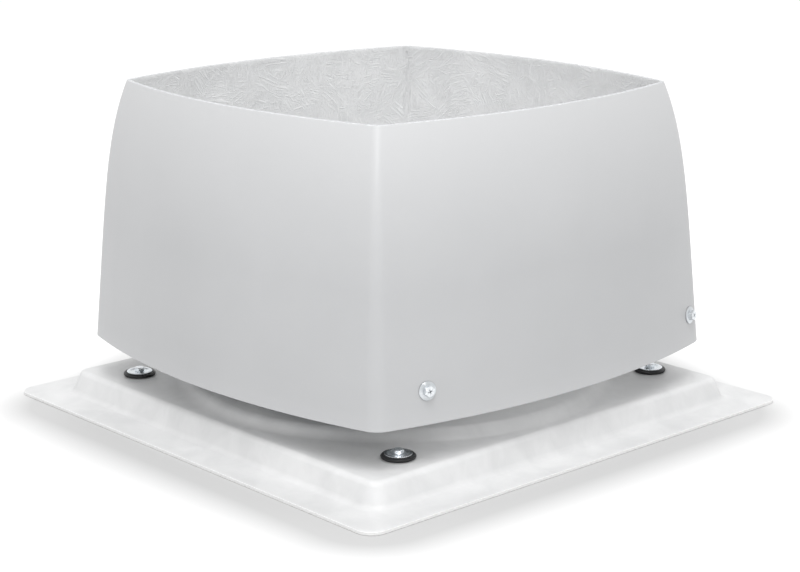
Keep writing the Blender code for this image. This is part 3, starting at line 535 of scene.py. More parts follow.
def base_gelcoat():
    """White gelcoat over glass: soft mottling, a few drawn streaks and painted shade in the inner corners
    low down.
    """
    made = Finish("base_gelcoat", Specular_IOR_Level=0.20)
    flat = made.stretched(made.place, (1, 1, 0.6))
    mottle = made.spread(made.grain(24.0, 4.0, 0.6, 0.6, flat), 0.35, 0.68)
    streak = made.strands(made.stretched(made.place, (1, 1, 0.2)), 0.09, 0.006, 0.075)
    colour = made.blend(mottle, (0.560, 0.563, 0.566), (0.622, 0.624, 0.626))
    colour = made.blend(made.maths("MULTIPLY", streak, 0.05), colour, (0.50, 0.505, 0.51))
    # Painted shade: the inner corners are darkened where shade falls.
    colour = made.blend(made.maths("MULTIPLY", made.crevice(), 0.3), colour, (0.52, 0.52, 0.52))
    colour = made.blend(made.maths("MULTIPLY", made.corner_wear(), 0.3), colour, (0.74, 0.743, 0.746))
    rough = made.spread(made.grain(40.0, 3.0), 0.3, 0.7, 0.34, 0.46)
    swell = made.grain(13.0, 3.0, 0.5, 0.3)
    made.relief((swell, 0.0010), (streak, 0.00004), (made.grain(260.0, 2.0), 0.00003))
    return made.done(colour, rough)


def black_rubber():
    """Moulded rubber with bloom on its shoulders."""
    made = Finish("black_rubber", Specular_IOR_Level=0.45)
    bloom = made.spread(made.grain(160.0, 4.0, 0.6), 0.40, 0.75)
    colour = made.blend(made.maths("MULTIPLY", bloom, 0.6), (0.004, 0.004, 0.005), (0.018, 0.019, 0.021))
    colour = made.blend(made.maths("MULTIPLY", made.corner_wear(), 0.4), colour, (0.040, 0.041, 0.044))
    made.relief((made.grain(500.0, 3.0), 0.00010), (made.grain(2600.0, 2.0), 0.00003))
    return made.done(colour, made.spread(bloom, 0.0, 1.0, 0.36, 0.58))


def bright_zinc():
    """Blue-passivated zinc plate: clouded shine, drawn lines, dull spots and painted shade in the inner
    corners.
    """
    made = Finish("bright_zinc", Metallic=1.0)
    cloud = made.spread(made.grain(160.0, 3.0, 0.6, 0.5), 0.35, 0.70)
    colour = made.blend(cloud, (0.66, 0.71, 0.75), (0.80, 0.83, 0.86))
    # Painted shade: the inner corners are darkened where shade falls.
    colour = made.blend(made.maths("MULTIPLY", made.crevice(), 0.7), colour, (0.12, 0.14, 0.16))
    colour = made.blend(made.maths("MULTIPLY", made.corner_wear(), 0.8), colour, (0.92, 0.94, 0.96))
    dull = made.spread(made.grain(900.0, 2.0), 0.60, 0.72)
    rough = made.maths("ADD", made.spread(cloud, 0.0, 1.0, 0.16, 0.26), made.maths("MULTIPLY", dull, 0.15))
    made.relief((made.grain(1400.0, 3.0), 0.00001), (dull, 0.00001))
    return made.done(colour, rough)


def pale_zinc():
    """Hood screws: a matt silvery plate that takes the hood's colour, with painted shade in the inner
    corners.
    """
    made = Finish("pale_zinc", Metallic=0.85)
    cloud = made.spread(made.grain(260.0, 3.0, 0.6), 0.35, 0.70)
    colour = made.blend(cloud, (0.46, 0.49, 0.51), (0.56, 0.58, 0.60))
    # Painted shade: the inner corners are darkened where shade falls.
    colour = made.blend(made.maths("MULTIPLY", made.crevice(), 0.5), colour, (0.30, 0.32, 0.34))
    colour = made.blend(made.maths("MULTIPLY", made.corner_wear(), 0.7), colour, (0.86, 0.88, 0.90))
    made.relief((made.grain(1600.0, 3.0), 0.00004))
    return made.done(colour, made.spread(cloud, 0.0, 1.0, 0.30, 0.42))


def galvanised_sheet():
    """Hot-dipped sheet with its spangle, worn bright on the edges."""
    made = Finish("galvanised_sheet", Metallic=0.9)
    pick = made.node("ShaderNodeSeparateColor")
    made.feed(pick.inputs["Color"], made.cells(95.0, output="Color"))
    spangle = pick.outputs["Red"]
    haze = made.spread(made.grain(20.0, 4.0, 0.6), 0.35, 0.70)
    colour = made.blend(spangle, (0.33, 0.35, 0.365), (0.42, 0.44, 0.455))
    colour = made.blend(made.maths("MULTIPLY", haze, 0.4), colour, (0.38, 0.385, 0.385))
    colour = made.blend(made.maths("MULTIPLY", made.corner_wear(), 0.6), colour, (0.62, 0.64, 0.65))
    rough = made.spread(spangle, 0.0, 1.0, 0.30, 0.52)
    made.relief((made.cells(95.0), 0.00002), (made.grain(500.0, 2.0), 0.00002))
    return made.done(colour, rough)


def cast_aluminium():
    """Die-cast alloy with a fine sand grain and machined-bright edges."""
    made = Finish("cast_aluminium", Metallic=0.95)
    grain = made.grain(620.0, 4.0, 0.65)
    colour = made.blend(made.spread(grain, 0.3, 0.7), (0.50, 0.51, 0.52), (0.62, 0.63, 0.64))
    colour = made.blend(made.maths("MULTIPLY", made.corner_wear(), 0.7), colour, (0.80, 0.81, 0.82))
    made.relief((made.grain(90.0, 3.0), 0.00030), (grain, 0.00012))
    return made.done(colour, made.spread(grain, 0.3, 0.7, 0.42, 0.58))


def motor_enamel():
    """Slate motor enamel over castings, thin and chipped on the edges, dusty in the corners."""
    made = Finish("motor_enamel", Specular_IOR_Level=0.5)
    cloud = made.spread(made.grain(38.0, 4.0, 0.6), 0.35, 0.70)
    colour = made.blend(cloud, (0.075, 0.090, 0.108), (0.098, 0.114, 0.132))
    flaked = made.spread(made.grain(420.0, 3.0), 0.52, 0.62)
    chip = made.maths("MULTIPLY", made.corner_wear(0.54, 0.60), flaked)
    colour = made.blend(made.maths("MULTIPLY", made.crevice(), 0.35), colour, (0.20, 0.20, 0.19))
    colour = made.blend(made.maths("MULTIPLY", chip, 0.7), colour, (0.42, 0.43, 0.44))
    rough = made.spread(cloud, 0.0, 1.0, 0.34, 0.46)
    made.relief((made.grain(300.0, 3.0), 0.00010), (made.grain(1300.0, 2.0), 0.00004))
    return made.done(colour, rough)


def turned_steel():
    """Ground shaft steel with its feed lines and a film of oil."""
    made = Finish("turned_steel", Metallic=1.0)
    lines = made.grain(1.0, 2.0, 0.5, 0.0, made.stretched(made.place, (60.0, 60.0, 5200.0)))
    oil = made.spread(made.grain(120.0, 3.0), 0.40, 0.70)
    colour = made.blend(oil, (0.52, 0.53, 0.54), (0.66, 0.66, 0.66))
    made.relief((lines, 0.00004))
    return made.done(colour, made.spread(oil, 0.0, 1.0, 0.18, 0.34))


def laminated_steel():
    """A core of stamped sheets, its layers showing as fine lines across the axis."""
    made = Finish("laminated_steel", Metallic=0.9)
    stacked = made.stretched(made.place, (3.0, 3.0, 2400.0))
    layers = made.spread(made.grain(1.0, 1.0, 0.4, 0.0, stacked), 0.4, 0.6)
    rust = made.spread(made.grain(150.0, 4.0, 0.65), 0.55, 0.80)
    colour = made.blend(layers, (0.20, 0.20, 0.21), (0.38, 0.38, 0.39))
    colour = made.blend(made.maths("MULTIPLY", rust, 0.4), colour, (0.20, 0.11, 0.06))
    made.relief((layers, 0.00012))
    return made.done(colour, made.spread(rust, 0.0, 1.0, 0.40, 0.65))


def copper_winding():
    """Varnished wire, wound round and dipped."""
    made = Finish("copper_winding", Metallic=0.8, Coat_Weight=0.5, Coat_Roughness=0.2)
    wound = made.stretched(made.place, (900.0, 900.0, 60.0))
    wires = made.spread(made.grain(1.0, 1.0, 0.4, 0.4, wound), 0.4, 0.6)
    drip = made.spread(made.grain(60.0, 4.0), 0.45, 0.70)
    colour = made.blend(wires, (0.34, 0.13, 0.05), (0.62, 0.29, 0.12))
    colour = made.blend(made.maths("MULTIPLY", drip, 0.4), colour, (0.22, 0.08, 0.03))
    made.relief((wires, 0.0003), (drip, 0.0004))
    return made.done(colour, made.spread(wires, 0.0, 1.0, 0.30, 0.45))


def black_plastic():
    """Moulded black nylon with a fine spark grain and pale handling marks."""
    made = Finish("black_plastic", Specular_IOR_Level=0.5)
    marks = made.spread(made.grain(70.0, 4.0, 0.65), 0.50, 0.75)
    colour = made.blend(made.maths("MULTIPLY", marks, 0.5), (0.022, 0.022, 0.024), (0.060, 0.060, 0.062))
    colour = made.blend(made.maths("MULTIPLY", made.corner_wear(), 0.4), colour, (0.11, 0.11, 0.11))
    made.relief((made.grain(900.0, 3.0), 0.00008))
    return made.done(colour, made.spread(marks, 0.0, 1.0, 0.42, 0.55))


HOOD_OUTSIDE = hood_gelcoat()
HOOD_INSIDE = painted_mat("hood_mat", (0.770, 0.774, 0.778), (0.872, 0.874, 0.876), 0.0008, 0.00034)
HOOD_RIM = trimmed_edge("hood_trimmed_edge", (0.56, 0.57, 0.58), (0.42, 0.43, 0.44))
BASE_OUTSIDE = base_gelcoat()
BASE_UNDERSIDE = painted_mat("base_mat", (0.60, 0.60, 0.57), (0.74, 0.74, 0.71), 0.0016, 0.00050)
BASE_RIM = trimmed_edge("base_trimmed_edge", (0.80, 0.80, 0.80), (0.68, 0.68, 0.67))
RUBBER = black_rubber()
ZINC = bright_zinc()
SCREW_ZINC = pale_zinc()
GALVANISED = galvanised_sheet()
ALUMINIUM = cast_aluminium()
ENAMEL = motor_enamel()
STEEL = turned_steel()
CORE_STEEL = laminated_steel()
COPPER = copper_winding()
PLASTIC = black_plastic()


# ---------------------------------------------------------------- shells made of rings

def shell(rings, finishes):
    """A grid laid from ring to ring and back to the first, with a map in metres.

    finishes gives a material number for the stretch after each ring.
    """
    rows = len(rings)
    count = len(rings[0])
    walk = [0.0]
    for here, there in zip(rings[0], rings[0][1:] + rings[0][:1]):
        walk.append(walk[-1] + (there - here).length)
    climb = [0.0]
    for here, there in zip(rings, rings[1:] + rings[:1]):
        climb.append(climb[-1] + (there[0] - here[0]).length)
    bm = bmesh.new()
    layer = bm.loops.layers.uv.new("metres")
    bmesh.ops.create_grid(bm, x_segments=rows, y_segments=count, size=1.0)
    spots = {}
    for vert in bm.verts:
        spots[vert] = (round((vert.co.x + 1) / 2 * rows), round((vert.co.y + 1) / 2 * count))
    for face in bm.faces:
        face.material_index = finishes[min(spots[vert][0] for vert in face.verts)]
        for loop in face.loops:
            row, column = spots[loop.vert]
            loop[layer].uv = (walk[column], climb[row])
    for vert, (row, column) in spots.items():
        vert.co = rings[row % rows][column % count]
    bmesh.ops.remove_doubles(bm, verts=bm.verts, dist=1e-7)
    bmesh.ops.recalc_face_normals(bm, faces=bm.faces)
    return bm


def lump(point, scale, octaves=3):
    """Repeatable soft noise between about -1 and 1."""
    return noise.fractal(Vector(point) * scale, 0.9, 2.1, octaves, noise_basis="PERLIN_ORIGINAL")


# ---------------------------------------------------------------- hood

def hood_share(height):
    """How far up the hood a height lies, from 0 at its lower rim to 1 at its mouth."""
    low, high, _ = node_box("hood")
    return min(1.0, max(0.0, (height - low.z) / (high.z - low.z)))


def hood_section(height):
    """Corner half-distance, bow and bow radius of the hood's outside at a height."""
    share = hood_share(height)
    curl = HOOD_BOTTOM_HALF - HOOD_TOP_HALF - HOOD_TAPER
    half = HOOD_BOTTOM_HALF - HOOD_TAPER * share - curl * share ** HOOD_CURL
    bow = HOOD_BOTTOM_BOW + (HOOD_TOP_BOW - HOOD_BOTTOM_BOW) * share
    return half, bow, (half * half + bow * bow) / (2 * bow)


def hood_outline(height, inset=0.0):
    """Four bowed sides and four small round corners, moved inwards by the inset."""
    half, bow, radius = hood_section(height)
    turn_in = HOOD_LOW_CORNER + (HOOD_TOP_CORNER - HOOD_LOW_CORNER) * hood_share(height)
    offset = half + bow - radius
    inner = radius - turn_in
    diagonal = (offset + math.sqrt(2 * inner * inner - offset * offset)) / 2
    spread = math.atan2(diagonal, diagonal - offset)
    side = arc((offset, 0.0), radius - inset, -spread, spread, HOOD_SIDE_STEPS)
    corner = arc((diagonal, diagonal), turn_in - inset, spread, QUARTER - spread, HOOD_CORNER_STEPS)
    points = []
    for quarter in range(4):
        turn = Matrix.Rotation(quarter * QUARTER, 3, "Z")
        points.extend(turn @ Vector((x, y, height)) for x, y in side + corner[1:-1])
    return points


def wind_hood():
    """The hood's laminate: smooth outside, rough inside, hand-trimmed rims with eased edges."""
    low, high, _ = node_box("hood")
    rings = []
    finishes = []
    span = high.z - low.z
    for step in range(HOOD_OUTER_RINGS):
        rise = math.sin(QUARTER * step / (HOOD_OUTER_RINGS - 1))
        rings.append(hood_outline(low.z + HOOD_EDGE + (span - 2 * HOOD_EDGE) * rise))
        finishes.append(OUTSIDE)
    finishes[-1] = RIM
    for inset, drop in ((HOOD_EDGE * 0.3, HOOD_EDGE * 0.3), (HOOD_EDGE, 0.0),
                        (HOOD_WALL - HOOD_EDGE, 0.0), (HOOD_WALL - HOOD_EDGE * 0.3, HOOD_EDGE * 0.3)):
        ring = []
        for point in hood_outline(high.z - drop, inset):
            point.z -= abs(lump(point, 18.0)) * HOOD_TRIM_WAVE
            ring.append(point)
        rings.append(ring)
        finishes.append(RIM)
    finishes[-1] = INSIDE
    for step in range(HOOD_INNER_RINGS):
        share = step / (HOOD_INNER_RINGS - 1)
        height = high.z - HOOD_EDGE - (span - 2 * HOOD_EDGE) * share
        fade = min(1.0, 12.0 * share, 12.0 * (1.0 - share))
        ring = []
        for point in hood_outline(height, HOOD_WALL):
            inward = Vector((point.x, point.y, 0.0)).normalized()
            rough = lump(point, 38.0) + 0.6 * lump(point, 130.0, 2)
            ring.append(point - inward * rough * HOOD_LUMP * fade)
        rings.append(ring)
        finishes.append(INSIDE)
    finishes[-1] = RIM
    for inset in (HOOD_WALL - HOOD_EDGE, HOOD_EDGE):
        rings.append(hood_outline(low.z, inset))
        finishes.append(RIM)
    bm = shell(rings, finishes)
    piece("wind_hood", bm, [HOOD_OUTSIDE, HOOD_INSIDE, HOOD_RIM], HOUSING, ["hood"], 40.0)


# ---------------------------------------------------------------- base

def square_ring(half, corner, height):
    points = []
    flat = half - corner
    side = [(half, flat * (2 * step / BASE_SIDE_STEPS - 1)) for step in range(BASE_SIDE_STEPS)]
    side += arc((flat, flat), corner, 0.0, QUARTER, BASE_CORNER_STEPS)[:-1]
    for quarter in range(4):
        turn = Matrix.Rotation(quarter * QUARTER, 3, "Z")
        points.extend(turn @ Vector((x, y, height)) for x, y in side)
    return points


def round_ring(radius, height):
    """A circle with its points in the directions of the platform's outline."""
    guide = square_ring(PLATFORM_TOP_HALF, PLATFORM_CORNER, 0.0)
    return [point.normalized() * radius + Vector((0.0, 0.0, height)) for point in guide]


def between(first, second, steps):
    """Rings spread evenly between two others, without the two."""
    rings = []
    for step in range(1, steps):
        share = step / steps
        rings.append([a.lerp(b, share) for a, b in zip(first, second)])
    return rings


def base_side(drop):
    """The base's face as rings from the flange's edge to the collar, sunk by a wall's thickness."""
    boss = PLATFORM_HEIGHT + BOSS_HEIGHT
    high = node_box("base_plate")[1]
    flange = high.x
    square = softened([
        (flange, SKIN - drop),
        (PLATFORM_FOOT_HALF - drop, SKIN - drop, PLATFORM_FILLET + drop),
        (PLATFORM_TOP_HALF - drop, PLATFORM_HEIGHT - drop, PLATFORM_FILLET - drop),
        (BOSS_FOOT_RADIUS, PLATFORM_HEIGHT - drop),
    ], steps=6)[1:-1]
    circular = softened([
        (PLATFORM_TOP_HALF, PLATFORM_HEIGHT - drop),
        (BOSS_FOOT_RADIUS - drop, PLATFORM_HEIGHT - drop, BOSS_FILLET),
        (BOSS_TOP_RADIUS - drop, boss - drop, BOSS_FILLET),
        (COLLAR_RADIUS - drop, boss - drop, COLLAR_FILLET),
        (COLLAR_RADIUS - drop, high.z),
    ], steps=8)[1:]
    rings = [square_ring(flange, FLANGE_CORNER, SKIN - drop)]
    squares = [square_ring(half, max(0.004, PLATFORM_CORNER + half - PLATFORM_TOP_HALF), height)
               for half, height in square]
    rings += between(rings[0], squares[0], 6) + squares
    circles = [round_ring(radius, height) for radius, height in circular]
    rings += between(squares[-1], circles[0], 5)
    for here, there in zip(circles, circles[1:]):
        steps = max(1, round((here[0].length - there[0].length) / BASE_FLAT_STEP))
        rings += [here] + between(here, there, steps)
    rings.append(circles[-1])
    return rings


def base_moulding():
    """Flange, platform, round boss and rain collar in one laminate, drilled for mounts and posts."""
    top = base_side(0.0)
    under = base_side(SKIN)
    flange = top[0]
    for ring in top[1:-1]:
        for point in ring:
            point.z += lump(point, 16.0) * BASE_WAVE
    for ring in under[1:-1]:
        for point in ring:
            point.z += (lump(point, 45.0) + 0.5 * lump(point, 150.0, 2)) * BASE_LUMP
    outer_edge = square_ring(flange[0].x, FLANGE_CORNER, 0.0)
    edge_top = square_ring(flange[0].x, FLANGE_CORNER, SKIN - EDGE)
    edge_low = square_ring(flange[0].x - EDGE, FLANGE_CORNER, 0.0)
    for point in top[0]:
        point.x -= math.copysign(EDGE, point.x)
        point.y -= math.copysign(EDGE, point.y)
    rings = top + list(reversed(under[1:])) + [edge_low, outer_edge, edge_top]
    finishes = [OUTSIDE] * (len(top) - 1) + [RIM] + [INSIDE] * (len(under) - 1) + [RIM] * 3
    bm = shell(rings, finishes)
    holes = []
    boss = PLATFORM_HEIGHT + BOSS_HEIGHT
    for corner in CORNERS:
        spot = node_box(f"mount_grommet_{corner}")[2]
        holes.append(moved(rod(GROMMET_HOLE, 0.0, boss), Matrix.Translation((spot.x, spot.y, 0.0))))
        spot = node_box(f"post_{corner}")[2]
        holes.append(moved(rod(POST_HOLE, SKIN, boss + SKIN), Matrix.Translation((spot.x, spot.y, 0.0))))
    bm = combined(bm, holes, "DIFFERENCE")
    piece("base_moulding", bm, [BASE_OUTSIDE, BASE_UNDERSIDE, BASE_RIM], HOUSING,
          ["base_plate"], 40.0)


# ---------------------------------------------------------------- places on the steel frame

def frame_box(name):
    """A node's lowest corner, highest corner and middle along the steel frame's own turned axes."""
    turn = Matrix.Rotation(-FRAME_TURN, 3, "Z")
    points = [turn @ vert.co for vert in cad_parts[name].data.vertices]
    low = Vector([min(point[axis] for point in points) for axis in range(3)])
    high = Vector([max(point[axis] for point in points) for axis in range(3)])
    return low, high, (low + high) / 2


def on_frame(x=0.0, y=0.0, z=0.0, spin=0.0):
    """A place given along the steel frame's own axes."""
    spot = Matrix.Translation((x, y, z))
    return Matrix.Rotation(FRAME_TURN, 4, "Z") @ spot @ Matrix.Rotation(spin, 4, "Z")


def wall_place(corner):
    """Where a hood screw meets the wall: local X out of the wall, Z up, and the wall's lean."""
    cloud = np.array([vert.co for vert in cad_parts[f"hood_screw_{corner}"].data.vertices])
    cloud = np.unique(cloud.round(7), axis=0)
    middle = Vector(cloud.mean(axis=0))
    along = Vector(np.linalg.eigh(np.cov((cloud - cloud.mean(axis=0)).T))[1][:, -1])
    if along.x * middle.x < 0:
        along = -along
    reach = max(along.dot(Vector(point) - middle) for point in cloud)
    spot = middle + along * (reach - SCREW_PROUD)
    facing = math.atan2(along.y, along.x)
    return Matrix.Translation(spot) @ Matrix.Rotation(facing, 4, "Z"), math.asin(along.z)


# ---------------------------------------------------------------- fasteners

def threaded(radius, pitch, bottom, top):
    """The outline of a thread as (radius, height) points, from its lower end up."""
    deep = 0.55 * pitch
    points = [(0.0, bottom), (radius - deep - EDGE, bottom), (radius - deep, bottom + EDGE)]
    turns = int((top - bottom - 2 * EDGE) / pitch)
    for turn in range(turns):
        base = bottom + EDGE + turn * pitch
        points += [(radius - deep, base + 0.12 * pitch), (radius - 0.04 * pitch, base + 0.47 * pitch),
                   (radius - 0.04 * pitch, base + 0.59 * pitch), (radius - deep, base + 0.94 * pitch)]
    return points


def hex_shape(flats, bottom, top, low_chamfer, high_chamfer):
    """A hexagon with its corners turned off at 30 degrees, as on every forged head."""
    corner = flats / math.sqrt(3.0)
    flat = flats * HEX_FACE
    reach = corner + 2 * EDGE
    cut = (reach - flat) * math.tan(CHAMFER)
    profile = [(0.0, bottom)]
    profile += [(flat, bottom), (reach, bottom + cut)] if low_chamfer else [(reach, bottom)]
    profile += [(reach, top - cut), (flat, top)] if high_chamfer else [(reach, top)]
    profile.append((0.0, top))
    body = hexagon(flats, bottom, top)
    walls = [edge for edge in body.edges if abs(edge.verts[0].co.z - edge.verts[1].co.z) > EDGE]
    bmesh.ops.bevel(body, geom=walls, offset=EDGE * 0.7, offset_type="OFFSET", segments=2, profile=0.5,
                    affect="EDGES", material=-1)
    return combined(body, [turned(profile, ROUND)], "INTERSECT")


def bolt_shape(flats, radius, pitch, seat, head, tip):
    """Head with its washer face, a neck and a thread down to the tip."""
    top = hex_shape(flats, seat + 0.0004, seat + head, False, True)
    shank = threaded(radius, pitch, tip, seat - 0.0035)
    shank += [(radius - 0.05 * pitch, seat - 0.003), (radius - 0.05 * pitch, seat),
              (flats * 0.47, seat), (flats * 0.47, seat + 0.0006), (0.0, seat + 0.0006)]
    return gathered(top, turned(shank, SMALL))


def nut_shape(flats, bore, bottom, top):
    """A chamfered hexagon nut with a countersunk bore."""
    sink = 0.0006
    drill = turned([(0.0, bottom - EDGE), (bore + sink + EDGE, bottom - EDGE), (bore, bottom + sink),
                    (bore, top - sink), (bore + sink + EDGE, top + EDGE), (0.0, top + EDGE)], SMALL)
    return combined(hex_shape(flats, bottom, top, True, True), [drill], "DIFFERENCE")


def washer_shape(inner, outer, bottom, thick, steps=ROUND):
    edge = min(thick * 0.3, 0.0003)
    return turned_ring([(inner, bottom, edge), (outer, bottom, edge), (outer, bottom + thick, edge),
                        (inner, bottom + thick, edge)], steps, 2)


def cross_recess(top, reach, depth):
    """The cutter of a cross recess that narrows towards its bottom."""
    wings = []
    for turn in (0.0, QUARTER):
        wing = block((-reach, -0.00055, top - depth), (reach, 0.00055, top + 0.001))
        for vert in wing.verts:
            if vert.co.z < top:
                vert.co.x *= 0.35
                vert.co.y *= 0.7
        wings.append(moved(wing, Matrix.Rotation(turn, 4, "Z")))
    return wings


def mount_grommets():
    """Rubber rings that swell out round the washers they carry."""
    low, high, _ = node_box("mount_grommet_front_right")
    seat = high.z
    outer = (high.x - low.x) / 2
    profile = softened([
        (0.0036, seat, 0.0003), (0.0134, seat, 0.0004), (0.0144, seat + 0.0008, 0.0007),
        (0.0160, seat + 0.0011, 0.0009), (outer + 0.0002, seat - 0.0005, 0.0012),
        (outer, seat - 0.0022, 0.0010), (outer - 0.0016, seat - 0.0030, 0.0003),
        (0.0090, seat - 0.0030, 0.0002), (0.0090, seat - 0.0066, 0.0002),
        (0.0143, seat - 0.0066, 0.0005), (0.0150, seat - 0.0082, 0.0008), (0.0139, low.z, 0.0006),
        (0.0036, low.z, 0.0003),
    ], closed=True, steps=4)
    for corner in CORNERS:
        _, _, middle = node_box(f"mount_grommet_{corner}")
        ring = turned(profile, FINE, ring=True)
        for vert in ring.verts:
            swell = lump(vert.co + middle, 90.0, 2) * 0.00012
            vert.co += Vector((vert.co.x, vert.co.y, 0.0)).normalized() * swell
        piece(f"rubber_grommet_{corner}", moved(ring, Matrix.Translation((middle.x, middle.y, 0.0))),
              RUBBER, HOUSING, [f"mount_grommet_{corner}"])


def mount_hardware():
    """Dished washers, hexagon bolts and nuts that clamp the steel frame through the rubber."""
    low, high, _ = node_box("mount_washer_front_right")
    rim = (high.x - low.x) / 2
    seat = low.z
    sheet = 0.0010
    dish = high.z - low.z - sheet
    profile = softened([
        (0.0033, seat, 0.0002), (0.0088, seat, 0.0015), (0.0112, seat + dish, 0.0015),
        (rim, seat + dish, 0.0004), (rim, high.z, 0.0004), (0.0110, high.z, 0.0012),
        (0.0086, seat + sheet, 0.0012), (0.0033, seat + sheet, 0.0002),
    ], closed=True, steps=4)
    for corner, tilt in zip(CORNERS, (14.0, 47.0, 5.0, 33.0)):
        bolt_low, bolt_high, middle = node_box(f"mount_bolt_{corner}")
        nut_low, nut_high, _ = node_box(f"mount_nut_{corner}")
        stand = Matrix.Translation((middle.x, middle.y, 0.0)) @ Matrix.Rotation(math.radians(tilt), 4, "Z")
        piece(f"dished_washer_{corner}", moved(turned(profile, FINE, ring=True), stand), ZINC, HOUSING,
              [f"mount_washer_{corner}"])
        head = bolt_high.z - M6_HEAD
        bolt = bolt_shape(M6_FLATS, M6, M6_PITCH, head, M6_HEAD, bolt_low.z)
        piece(f"hex_bolt_{corner}", moved(bolt, stand), ZINC, HOUSING,
              [f"mount_bolt_{corner}"], 25.0)
        nut = nut_shape(M6_FLATS, M6, nut_low.z, nut_high.z)
        piece(f"hex_nut_{corner}", moved(nut, stand), ZINC, HOUSING,
              [f"mount_nut_{corner}"], 25.0)


def hood_screws():
    """Washer-faced hexagon screws with a cross recess, through the hood's wall."""
    for corner, tilt in zip(CORNERS, (18.0, 52.0, 31.0, 8.0)):
        place, lean = wall_place(corner)
        face = SCREW_PROUD - M6_HEAD
        skirt = softened([
            (0.0, 0.0003), (0.0093, 0.0003, 0.0002), (0.0093, 0.0012, 0.0003), (0.0062, face, 0.0004),
            (0.0, face),
        ], steps=3)
        head = hex_shape(M6_FLATS, face - 0.0004, SCREW_PROUD, False, True)
        head = combined(head, cross_recess(SCREW_PROUD, 0.0030, 0.0022), "DIFFERENCE")
        shank = threaded(M6, M6_PITCH, -0.018, 0.0)
        shank += [(M6 - 0.0001, -0.0005), (M6 - 0.0001, 0.0006), (0.0, 0.0006)]
        screw = gathered(turned(skirt, ROUND), head, turned(shank, SMALL))
        axis = Matrix.Rotation(QUARTER - lean, 4, "Y") @ Matrix.Rotation(math.radians(tilt), 4, "Z")
        piece(f"cross_hex_screw_{corner}", moved(screw, place @ axis), SCREW_ZINC, HOUSING,
              [f"hood_screw_{corner}"], 25.0)


# ---------------------------------------------------------------- steel frame

def drilled(bm, holes, bottom, top):
    """Cut round holes of (x, y, radius) through everything between two heights."""
    drills = []
    for x, y, radius in holes:
        steps = FINE if radius > 0.02 else SMALL
        drills.append(moved(rod(radius, bottom, top, steps), Matrix.Translation((x, y, 0.0))))
    return combined(bm, drills, "DIFFERENCE")


def support_sheet():
    """The sheet under the platform, with its round air opening."""
    low, high, _ = frame_box("support_frame")
    half = high.x
    outline = softened([(-half, -half, SUPPORT_CORNER), (half, -half, SUPPORT_CORNER),
                        (half, half, SUPPORT_CORNER), (-half, half, SUPPORT_CORNER)], closed=True, steps=10)
    bore = frame_box("inlet_nozzle")[1].x - NOZZLE_LAP
    holes = [(0.0, 0.0, bore)]
    for corner in CORNERS:
        for kind, radius in (("mount_bolt", M6 + 0.0005), ("post", POST_BORE)):
            spot = frame_box(f"{kind}_{corner}")[2]
            holes.append((spot.x, spot.y, radius))
    sheet = drilled(slab(outline, low.z, high.z), holes, low.z - 0.01, high.z + 0.01)
    piece("support_sheet", moved(eased(sheet, 0.0003), on_frame()), GALVANISED, HOUSING,
          ["support_frame"])


def carrier_sheet():
    """The motor's folded sheet: four arms, two stiffening lips and press nuts."""
    low, high, _ = frame_box("carrier_plate")
    reach = high.x
    outer = high.y
    inner = outer - ARM_WIDTH
    half = frame_box("post_front_right")[2].x + 0.020
    top = high.z
    under = top - SKIN
    bend = 0.0045
    outline = [(-reach, -outer), (reach, -outer), (reach, -inner), (half, -inner), (half, inner),
               (reach, inner), (reach, outer), (-reach, outer), (-reach, inner), (-half, inner),
               (-half, -inner), (-reach, -inner)]
    outline = [(x, y, CARRIER_CORNER) for x, y in outline]
    sheet = slab(softened(outline, closed=True, steps=8), under, top)
    lips = []
    for side in (-1, 1):
        edge = outer - 0.0001
        fold = softened([
            (edge - 0.020, top - 0.0002), (edge, top - 0.0002, bend), (edge, low.z, 0.0008),
            (edge - SKIN, low.z, 0.0008), (edge - SKIN, under + 0.0002, bend - SKIN),
            (edge - 0.020, under + 0.0002),
        ], closed=True, steps=5)
        lip = slab(fold, CARRIER_CORNER - reach, reach - CARRIER_CORNER)
        stand = Matrix(((0, 0, 1, 0), (side, 0, 0, 0), (0, 1, 0, 0), (0, 0, 0, 1)))
        lip = moved(lip, stand)
        bmesh.ops.recalc_face_normals(lip, faces=lip.faces)
        lips.append(lip)
    holes = [(0.0, 0.0, 0.030)]
    nuts = []
    for corner in CORNERS:
        spot = frame_box(f"bracket_bolt_{corner}")[2]
        post = frame_box(f"post_{corner}")[2]
        holes += [(spot.x, spot.y, M6 + 0.0002), (post.x, post.y, POST_BORE)]
        nut = hex_shape(M6_FLATS, under - 0.005, under + 0.0005, True, False)
        nuts.append(moved(nut, Matrix.Translation((spot.x, spot.y, 0.0))))
    sheet = combined(sheet, lips + nuts, "UNION")
    sheet = drilled(sheet, holes, low.z - 0.01, high.z + 0.01)
    piece("carrier_sheet", moved(eased(sheet, 0.00025, 35.0), on_frame()), GALVANISED, HOUSING,
          ["carrier_plate"])


